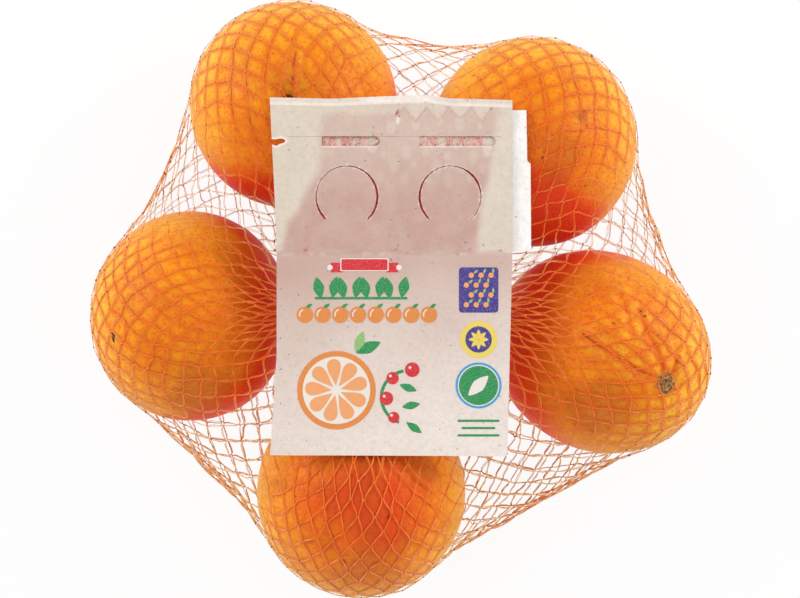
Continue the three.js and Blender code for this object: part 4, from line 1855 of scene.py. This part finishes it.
    def build_cut_fibres(self, material: Material) -> Object:
        """Makes the glue-soaked net in both finger cuts, just below the paper's face, in painted shade.

        Args:
            material: The fibres' finish.

        Returns:
            The piece.
        """
        bm = bmesh.new()
        span = (self.finger_from, self.finger_to)
        for x in self.finger_x:
            spin_band(bm, Vector((x, self.finger_y, 0)), self.finger_radius, 1.0, span, 120)
        bmesh.ops.recalc_face_normals(bm, faces=bm.faces[:])
        bmesh.ops.solidify(bm, geom=bm.faces[:], thickness=0.1)
        bmesh.ops.recalc_face_normals(bm, faces=bm.faces[:])
        mesh = mesh_from(bm, "finger_cut_fibres")
        points = read_points(mesh)
        x, y = points.T[:2]
        points[:, 2] += self.height(x, y) - self.flap_drop(x, y, 0.6) + 0.1
        write_points(mesh, points)
        return declare(add_object(mesh, material, smooth=False), Slot.YARN)

    def stain(self, points: Array) -> Array:
        """Where the paper darkens: painted shadow at the fold, painted shade at the finger cuts, and a small
        tear.

        Args:
            points: The flat sheet's vertices.

        Returns:
            One value for each vertex.
        """
        x, y = points.T[:2]
        # Painted shadow in dashes along the fold.
        spots = ease(0.42, 0.7, swell(points * (1.0, 1.6, 0.0), 2.2, 31))
        fold = 0.75 * spots * ease(1.2, 0.3, np.abs(y - self.fold - 0.6))
        # Painted shade: the underside round the finger cuts, in the dark red of the shaded net below.
        under = points[:, 2] < self.thickness / 2
        edge = 0.8 * under * ease(0.9, 0.3, np.abs(self.from_cuts(x, y))) * (y > self.hinge)
        tear = 0.75 * ease(1.1, 0.5, np.hypot((x + 1.3 - 0.3 * (y - 66.4)) / 0.6, (y - 66.4) / 1.5))
        return np.maximum.reduce([fold, edge, tear])

    @property
    def hinge(self) -> float:
        """The y at which the finger flaps hang from the sheet."""
        return self.finger_y + self.finger_radius * math.sin(math.radians(self.finger_from))

    def wear(self, points: Array) -> Array:
        """Where the paper is whitened: the seal, partly a painted highlight, the fold, fingers and torn
        notch.

        Args:
            points: The flat sheet's vertices.

        Returns:
            One value for each vertex.
        """
        x, y = points.T[:2]
        below = self.top_edge(x) - y
        flat = points * (1.0, 1.0, 0.0)
        # The seal's white line: paper whitened by the seal, and a painted highlight on its ridge.
        seal = 0.95 * ease(0.5, 0.12, np.abs(below - self.seal_line))
        strip = ease(2.2, 1.6, below) * (0.25 + 0.6 * ease(-17.0, -10.0, x) * ease(16.0, 8.0, x))
        spotted = ease(-0.1, 0.5, swell(flat, 2.4, 5))
        fold = 0.2 * spotted * ease(1.3, 0.2, np.abs(y - self.fold + 1.0))
        light = np.interp(y, [-50.0, -25.0, 12.0], [0.62, 0.5, 0.05]) + 0.12 * swell(flat, 23.0, 17)
        lower = ease(self.fold + 0.5, self.fold - 1.0, y) * (light + 0.003 * x)
        rim = [*self.notch[2:], self.notch[0]]
        notch = 0.95 * ease(0.95, 0.45, distance_to_line(points[:, :2], rim) + 0.3 * swell(flat, 1.3, 9))
        torn = ease(-0.05, 0.4, swell(flat, 1.1, 13))
        finger = 0.6 * torn * ease(0.85, 0.4, np.abs(self.from_cuts(x, y))) * (y > self.hinge)
        tear = 0.85 * ease(1.1, 0.5, np.hypot((x + 1.1) / 0.7, (y - 63.5) / 1.8))
        lip = np.zeros_like(x)
        for start, end in self.windows:
            low = np.abs(y - self.tear_y + self.window_height / 2)
            lip = np.maximum(lip, 0.6 * ease(0.7, 0.2, low) * (x > start) * (x < end - 1.0))
        return np.maximum.reduce([seal, strip, fold, lower, notch, finger, tear, lip])


@dataclass
class BackSheet:
    """The shorter blank sheet behind the front one, a little to the right of it."""

    under: float
    thickness: float = 0.3
    low: float = FOLD_Y
    top: float = 67.2

    def place(self, u: float, v: float) -> Pair:
        """A place of the flat sheet, with the small step in its outer edge."""
        right = float(np.interp(v, [0.0, 0.36, 0.38, 1.0], [44.6, 44.9, 46.1, 46.3]))
        return -41.0 + (right + 41.0) * u, self.top + (self.low - self.top) * v

    def build(self, material: Material, net: Net, front: FrontSheet) -> Object:
        """Makes the sheet.

        Args:
            material: The paper.
            net: The net, which is glued to it.
            front: The sheet before it, whose cuts it shows through.

        Returns:
            The piece.
        """
        mesh = paper_grid(140, 84, self.place, self.thickness, "label_back_sheet")
        points = read_points(mesh)
        x, y = points.T[:2]
        glue = net.tail_shadow(points[:, :2])
        glued = ease(0.15, 0.6, glue + 0.2 * swell(points, 1.2, 21))
        # Painted shade: under the finger cuts the sheet is painted the dark red of the shaded net.
        cuts = ease(1.9, 1.0, np.abs(front.from_cuts(x, y))) * (0.75 + 0.25 * swell(points, 1.6, 25))
        # Across the middle, outside the glue and the cuts, the sheet is a darker cream.
        hidden = ease(-31.0, -28.0, x) * ease(37.0, 34.0, x) * (1.0 - glued) * (1.0 - cuts)
        write_attributes(mesh, tail=glued, stain=cuts, worn=hidden)
        wave = 0.2 * np.sin(y / 6.5) * np.maximum(0.0, (x - 34.0) / 12.0)
        points[:, 2] += self.under + 0.02 + np.maximum(0.0, wave) + pressed_up(y)
        write_points(mesh, points)
        return declare(add_object(mesh, material, smooth=False), Slot.BACK, "label_back")


class Ink(Enum):
    """The label's printing inks."""

    GREEN = "#1c9150"
    ORANGE = "#e58a3e"
    PEACH = "#f2a468"
    RED = "#d8202f"
    VIOLET = "#46348c"
    YELLOW = "#efd65c"
    BLUE = "#2b9fd6"
    LEAF = "#8fc173"
    PAPER = "#efe6dc"


@dataclass
class Print:
    """The label's printed fields: a plain design of bars, a citrus slice, leaves and discs.

    Its shapes are kept by their ink and their layer, and a higher layer lies on the lower ones.
    """

    sheet: FrontSheet
    facet: float = 3.0
    film: float = 0.03
    lift: float = 0.035
    inks: dict[tuple[Ink, int], BMesh] = field(default_factory=lambda: defaultdict(bmesh.new))

    def bar(self, ink: Ink, centre: Pair, size: Pair, rounding: float, layer: int = 0) -> None:
        """Adds a bar with rounded corners.

        Args:
            ink: Its colour.
            centre: Its middle.
            size: Its width and height.
            rounding: Its corners' radius.
            layer: Its layer, 0 lowest.
        """
        bm = self.inks[ink, layer]
        matrix = Matrix.Translation((*centre, 0)) @ Matrix.Diagonal((size[0], size[1], 1, 1))
        made = bmesh.ops.create_grid(bm, x_segments=1, y_segments=1, size=0.5, matrix=matrix)["verts"]
        bmesh.ops.bevel(
            bm,
            geom=made,
            offset=rounding,
            offset_type="OFFSET",
            affect="VERTICES",
            segments=8,
            profile=0.5,
            material=-1,
        )

    def disc(self, ink: Ink, centre: Pair, radius: float, layer: int = 0) -> None:
        """Adds a round field."""
        bm, place = self.inks[ink, layer], Matrix.Translation((*centre, 0))
        bmesh.ops.create_circle(bm, cap_ends=True, segments=40, radius=radius, matrix=place)

    def arc(
        self, ink: Ink, centre: Pair, radius: float, width: float, span: Pair = (0.0, 360.0), layer: int = 0
    ) -> None:
        """Adds a ring, or the part of one between two headings in degrees.

        Args:
            ink: Its colour.
            centre: Its middle.
            radius: Out to the middle of its stroke.
            width: Its stroke's width.
            span: The headings at its ends.
            layer: Its layer, 0 lowest.
        """
        steps = max(8, int(math.radians(span[1] - span[0]) * 10))
        spin_band(self.inks[ink, layer], Vector((*centre, 0)), radius, width, span, steps)

    def petal(
        self, ink: Ink, foot: Pair, length: float, width: float, heading: float, point: float, layer: int = 0
    ) -> None:
        """Adds a leaf, a petal or a fruit segment.

        Args:
            ink: Its colour.
            foot: Where it starts.
            length: From its foot to its tip.
            width: Across its widest place.
            heading: Which way it points, in degrees.
            point: 1 for a leaf with a sharp tip, -1 for a segment that is blunt at the tip.
            layer: Its layer, 0 lowest.
        """
        bm = self.inks[ink, layer]
        made = bmesh.ops.create_circle(bm, cap_ends=True, segments=28, radius=1.0)["verts"]
        turn = Matrix.Rotation(math.radians(heading), 3, "Z")
        for vertex in made:
            along, across = vertex.co.x, vertex.co.y
            taper = (1.0 - abs(along)) ** 0.35 if point > 0 else 0.55 + 0.45 * along
            local = Vector(((along + 1.0) * length / 2, across * width / 2 * taper, 0))
            vertex.co = turn @ local + Vector((*foot, 0))

    def titles(self) -> None:
        """A red ribbon, a garland of leaves and a row of small fruit at the head of the printed part."""
        for side in (-1, 1):
            self.bar(Ink.RED, (-13.0 + 9.8 * side, 11.2), (4.4, 3.4), 0.2)
            self.disc(Ink.PAPER, (-13.0 + 12.3 * side, 11.2), 1.0, 1)
        self.bar(Ink.PAPER, (-13.0, 12.2), (17.2, 4.6), 0.5, 1)
        self.bar(Ink.RED, (-13.0, 12.2), (16.4, 3.9), 0.5, 2)
        for step in range(8):
            x = -28.5 + 4.1 * step
            self.petal(Ink.GREEN, (x, 0.3 + 0.25 * (step % 2)), 7.6, 3.9, 78.0 if step % 2 else 102.0, 1)
        self.bar(Ink.GREEN, (-14.2, 0.3), (33.0, 0.9), 0.4)
        for step in range(8):
            x = -34.2 + 6.3 * step
            self.disc(Ink.ORANGE, (x, -5.6), 2.95)
            self.arc(Ink.PAPER, (x, -5.6), 1.9, 0.45, (110.0, 200.0), 1)
            self.petal(Ink.GREEN, (x + 0.4, -3.2), 2.6, 1.2, 35.0, 1, 1)

    def slice(self, centre: Pair, radius: float) -> None:
        """A citrus slice with its segments, under two leaves.

        Args:
            centre: Its middle.
            radius: Out to its peel.
        """
        self.disc(Ink.ORANGE, centre, radius)
        self.disc(Ink.PAPER, centre, 0.86 * radius, 1)
        count = 9
        for step in range(count):
            heading = 360.0 * (step + 0.4) / count
            reach = Vector((math.cos(math.radians(heading)), math.sin(math.radians(heading))))
            foot = Vector(centre) + 0.12 * radius * reach
            self.petal(Ink.PEACH, tuple(foot), 0.68 * radius, 0.52 * radius, heading, -1, 2)
        top = (centre[0] + 0.5 * radius, centre[1] + 0.95 * radius)
        self.petal(Ink.GREEN, top, 9.5, 4.2, 24, 1)
        self.petal(Ink.LEAF, top, 8.0, 3.6, 72, 1)

    def berries(self) -> None:
        """A spray of red berries and leaves beside the slice."""
        self.arc(Ink.GREEN, (2.5, -35.0), 9.5, 1.1, (100.0, 250.0))
        for x, y, radius in ((2.0, -25.2, 2.6), (-5.0, -28.2, 2.2), (-7.2, -35.4, 2.4), (-4.6, -42.2, 2.0)):
            self.disc(Ink.RED, (x + 2.0, y), radius, 1)
            self.disc(Ink.PAPER, (x + 1.2, y + 0.8), 0.5, 2)
        for x, y, heading in ((-0.5, -30.5, -20), (0.4, -38.5, 10), (2.0, -44.0, -35)):
            self.petal(Ink.GREEN, (x, y), 6.5, 2.8, heading, 1)

    def orchard(self, centre: Pair, side: float) -> None:
        """A violet field sown with orange dots and leaves.

        Args:
            centre: Its middle.
            side: Its width.
        """
        self.bar(Ink.VIOLET, centre, (side, side * 1.15), 1.2)
        step = side / 4
        for row in range(4):
            for column in range(3):
                x = centre[0] + (column - 1 + 0.25 * (-1) ** row) * step
                y = centre[1] + (1.5 - row) * step
                self.disc(Ink.PEACH, (x, y), 0.95, 1)
                self.petal(Ink.LEAF, (x + 0.8, y + 0.6), 2.0, 0.9, 40 + 25 * column, 1, 1)

    def badges(self) -> None:
        """The column of plain badges at the right."""
        x = 27.6
        self.orchard((x, 3.2), 14.0)
        self.disc(Ink.YELLOW, (x, -14.4), 6.6)
        self.disc(Ink.VIOLET, (x, -14.4), 4.7, 1)
        for step in range(8):
            self.petal(Ink.YELLOW, (x, -14.4), 3.6, 1.5, 45.0 * step, 1, 2)
        self.disc(Ink.BLUE, (x, -30.8), 8.2)
        self.disc(Ink.PAPER, (x, -30.8), 7.4, 1)
        self.disc(Ink.GREEN, (x, -30.8), 7.0, 2)
        self.petal(Ink.PAPER, (x - 3.6, -34.4), 10.0, 4.4, 45, 1, 3)
        for row, width in enumerate((15.0, 12.0, 15.0)):
            self.bar(Ink.GREEN, (x, -43.4 - 2.6 * row), (width, 0.8), 0.38)

    def build(self) -> list[Object]:
        """Lays out the design and makes one piece for each ink and layer.

        Returns:
            The pieces.
        """
        self.titles()
        self.slice((-23.0, -32.5), 14.0)
        self.berries()
        self.badges()
        finishes = {ink: InkFinish(ink.name.lower(), ink.value).material() for ink in Ink}
        pieces = []
        for (ink, layer), bm in self.inks.items():
            self.facet_grid(bm)
            bmesh.ops.recalc_face_normals(bm, faces=bm.faces[:])
            for face in bm.faces:
                if face.normal.z < 0:
                    face.normal_flip()
            bmesh.ops.solidify(bm, geom=bm.faces[:], thickness=-self.film)
            bmesh.ops.recalc_face_normals(bm, faces=bm.faces[:])
            mesh = mesh_from(bm, f"print_{ink.name.lower()}_{layer}")
            points = read_points(mesh)
            points[:, 2] -= points[:, 2].min()
            rise = self.sheet.thickness + self.lift * (layer + 1)
            points[:, 2] += self.sheet.height(points[:, 0], points[:, 1]) + rise
            write_points(mesh, points)
            pieces.append(declare(add_object(mesh, finishes[ink], smooth=False), Slot.INK))
        return pieces

    def facet_grid(self, bm: BMesh) -> None:
        """Cuts shapes into facets small enough to follow the sheet's waves.

        Args:
            bm: The shapes, which this cuts.
        """
        for axis, reach in ((0, (-48.0, 42.0)), (1, (-58.0, 18.0))):
            for place in np.arange(reach[0], reach[1], self.facet):
                at = [0.0, 0.0, 0.0]
                at[axis] = place
                way = [0.0, 0.0, 0.0]
                way[axis] = 1.0
                geometry = bm.verts[:] + bm.edges[:] + bm.faces[:]
                bmesh.ops.bisect_plane(bm, geom=geometry, plane_co=at, plane_no=way)


# ---- Studio ----------------------------------------------------------------------------


@dataclass
class Studio:
    """A white table, soft boxes at both sides, two weaker ones, a pale room and the camera above."""

    eye: Triple = (-0.37, 0.0, 1138.5)
    lens: float = 134.04
    sensor: float = 36.0
    table_size: float = 3000.0
    table_depth: float = 0.4
    light_distance: float = 1150.0
    side_heading: float = 24.0
    side_rise: float = 24.0
    room_light: float = 0.52

    def build(self) -> None:
        """Sets the camera, the table and the lights."""
        self.set_camera()
        self.set_table()
        self.set_light()

    def set_camera(self) -> None:
        """A long lens that looks straight down."""
        data = bpy.data.cameras.new("camera")
        data.lens = self.lens
        data.sensor_width = self.sensor
        data.clip_start = 0.05
        data.clip_end = 20.0
        camera = add_to_scene("camera", data)
        camera.location = Vector(self.eye) * MM
        bpy.context.scene.camera = camera

    def set_table(self) -> None:
        """A white table that glows, as a lit product table does, so that shadows on it stay faint."""
        material, tree = new_material("glowing_white_acrylic")
        matt = add_node(tree, "BsdfDiffuse", {"Color": (0.1, 0.1, 0.1, 1.0)})
        glow = add_node(tree, "Emission", {"Color": (1.0, 1.0, 1.0, 1.0), "Strength": 0.9})
        both = add_node(tree, "AddShader", {0: matt.outputs[0], 1: glow.outputs[0]})
        add_node(tree, "OutputMaterial", {"Surface": both.outputs[0]})
        bm = bmesh.new()
        bmesh.ops.create_grid(bm, x_segments=1, y_segments=1, size=self.table_size / 2)
        for vertex in bm.verts:
            vertex.co.z = -self.table_depth
        mesh = mesh_from(bm, "table")
        write_points(mesh, read_points(mesh))
        add_object(mesh, material, smooth=False)

    def set_light(self) -> None:
        """Soft boxes low at the left and right, weak ones overhead and in front, and a pale room."""
        self.soft_box("soft_box_left", 180.0 - self.side_heading, self.side_rise, 500.0, 6.8)
        self.soft_box("soft_box_right", self.side_heading, self.side_rise, 500.0, 6.8)
        self.soft_box("soft_box_top", 90.0, 75.0, 800.0, 1.2)
        self.soft_box("soft_box_near", 270.0, 20.0, 500.0, 2.0)
        world = bpy.data.worlds.new("studio")
        world.use_nodes = True
        room = world.node_tree.nodes["Background"]
        room.inputs["Color"].default_value = (1.0, 1.0, 1.0, 1.0)
        room.inputs["Strength"].default_value = self.room_light
        bpy.context.scene.world = world
        bpy.context.scene.view_settings.view_transform = "Standard"

    def soft_box(self, name: str, heading: float, rise: float, size: float, power: float) -> None:
        """Adds a square light that faces the bag.

        Args:
            name: Its name.
            heading: Where it stands round the bag, in degrees from +X towards +Y.
            rise: Its height above the table, in degrees.
            size: The side of its square.
            power: Its power in watts.
        """
        data = bpy.data.lights.new(name, "AREA")
        data.shape = "SQUARE"
        data.size = size * MM
        data.energy = power
        light = add_to_scene(name, data)
        round_, up = math.radians(heading), math.radians(rise)
        away = Vector((math.cos(round_) * math.cos(up), math.sin(round_) * math.cos(up), math.sin(up)))
        light.location = (away * self.light_distance + Vector((0, 0, 40))) * MM
        light.rotation_euler = away.to_track_quat("Z", "Y").to_euler()


# ---- The pack --------------------------------------------------------------------------


def main() -> None:
    """Builds the studio and then the pack, piece by piece."""
    logging.basicConfig(level=logging.INFO, format="%(name)s: %(message)s")
    Studio().build()
    peel, wood, yarn = PeelFinish().material(), StemFinish().material(), YarnFinish().material()
    net = Net()
    for orange in ORANGES:
        orange.build(peel, wood, net)
    dried = StemFinish(name="dried_scratch", wood="#2c120a", pale="#4a2414")
    PeelScratches().build(ORANGES[-1], dried.material())
    soaked = YarnFinish(
        name="glue_soaked_polyethylene",
        body="#eeb6a8",
        pale="#f8e0d2",
        dark="#b83a4c",
        open_body="#eeb6a8",
        open_pale="#f8e0d2",
        patch=1.6,
        fleck=0.7,
        fleck_from=0.56,
        fleck_least=1.0,
    )
    net.build_yarns(yarn, soaked.material())
    # The knots' backlit tones are dark brown, painted as they show against the light through the net.
    knotted = YarnFinish("knotted_polyethylene", open_body="#8c4c1c", open_pale="#bc7c3c")
    net.build_knots(knotted.material())
    net.build_seam(yarn)
    # The sheets lie apart by this much, with the net's glued end between them.
    sheet_gap = 0.95
    back_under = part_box("label_back")[0].z / MM
    front = FrontSheet(under=back_under + sheet_gap)
    front_paper = PaperFinish(name="recycled_label_paper", pulp="#ddcfbd", cloud="#e4d6c5")
    front.build(front_paper.material(), net)
    # The net in the finger cuts is dark crimson: its glued red with the shade of the narrow cuts painted in.
    fibres = YarnFinish(
        name="glue_soaked_fibres",
        body="#96202a",
        pale="#bd4a42",
        dark="#54101a",
        open_body="#96202a",
        open_pale="#bd4a42",
        patch=1.6,
        fleck=0.7,
        fleck_least=1.0,
    )
    front.build_cut_fibres(fibres.material())
    back_paper = PaperFinish(
        name="bleached_label_paper",
        pulp="#fffaf5",
        cloud="#fffdfb",
        soaked="#eebcae",
        stained="#8c1f1f",
        rubbed="#e0d1c0",
        fleck_share=0.08,
    )
    BackSheet(under=back_under).build(back_paper.material(), net, front)
    Print(front).build()


if __name__ == "__main__":
    main()
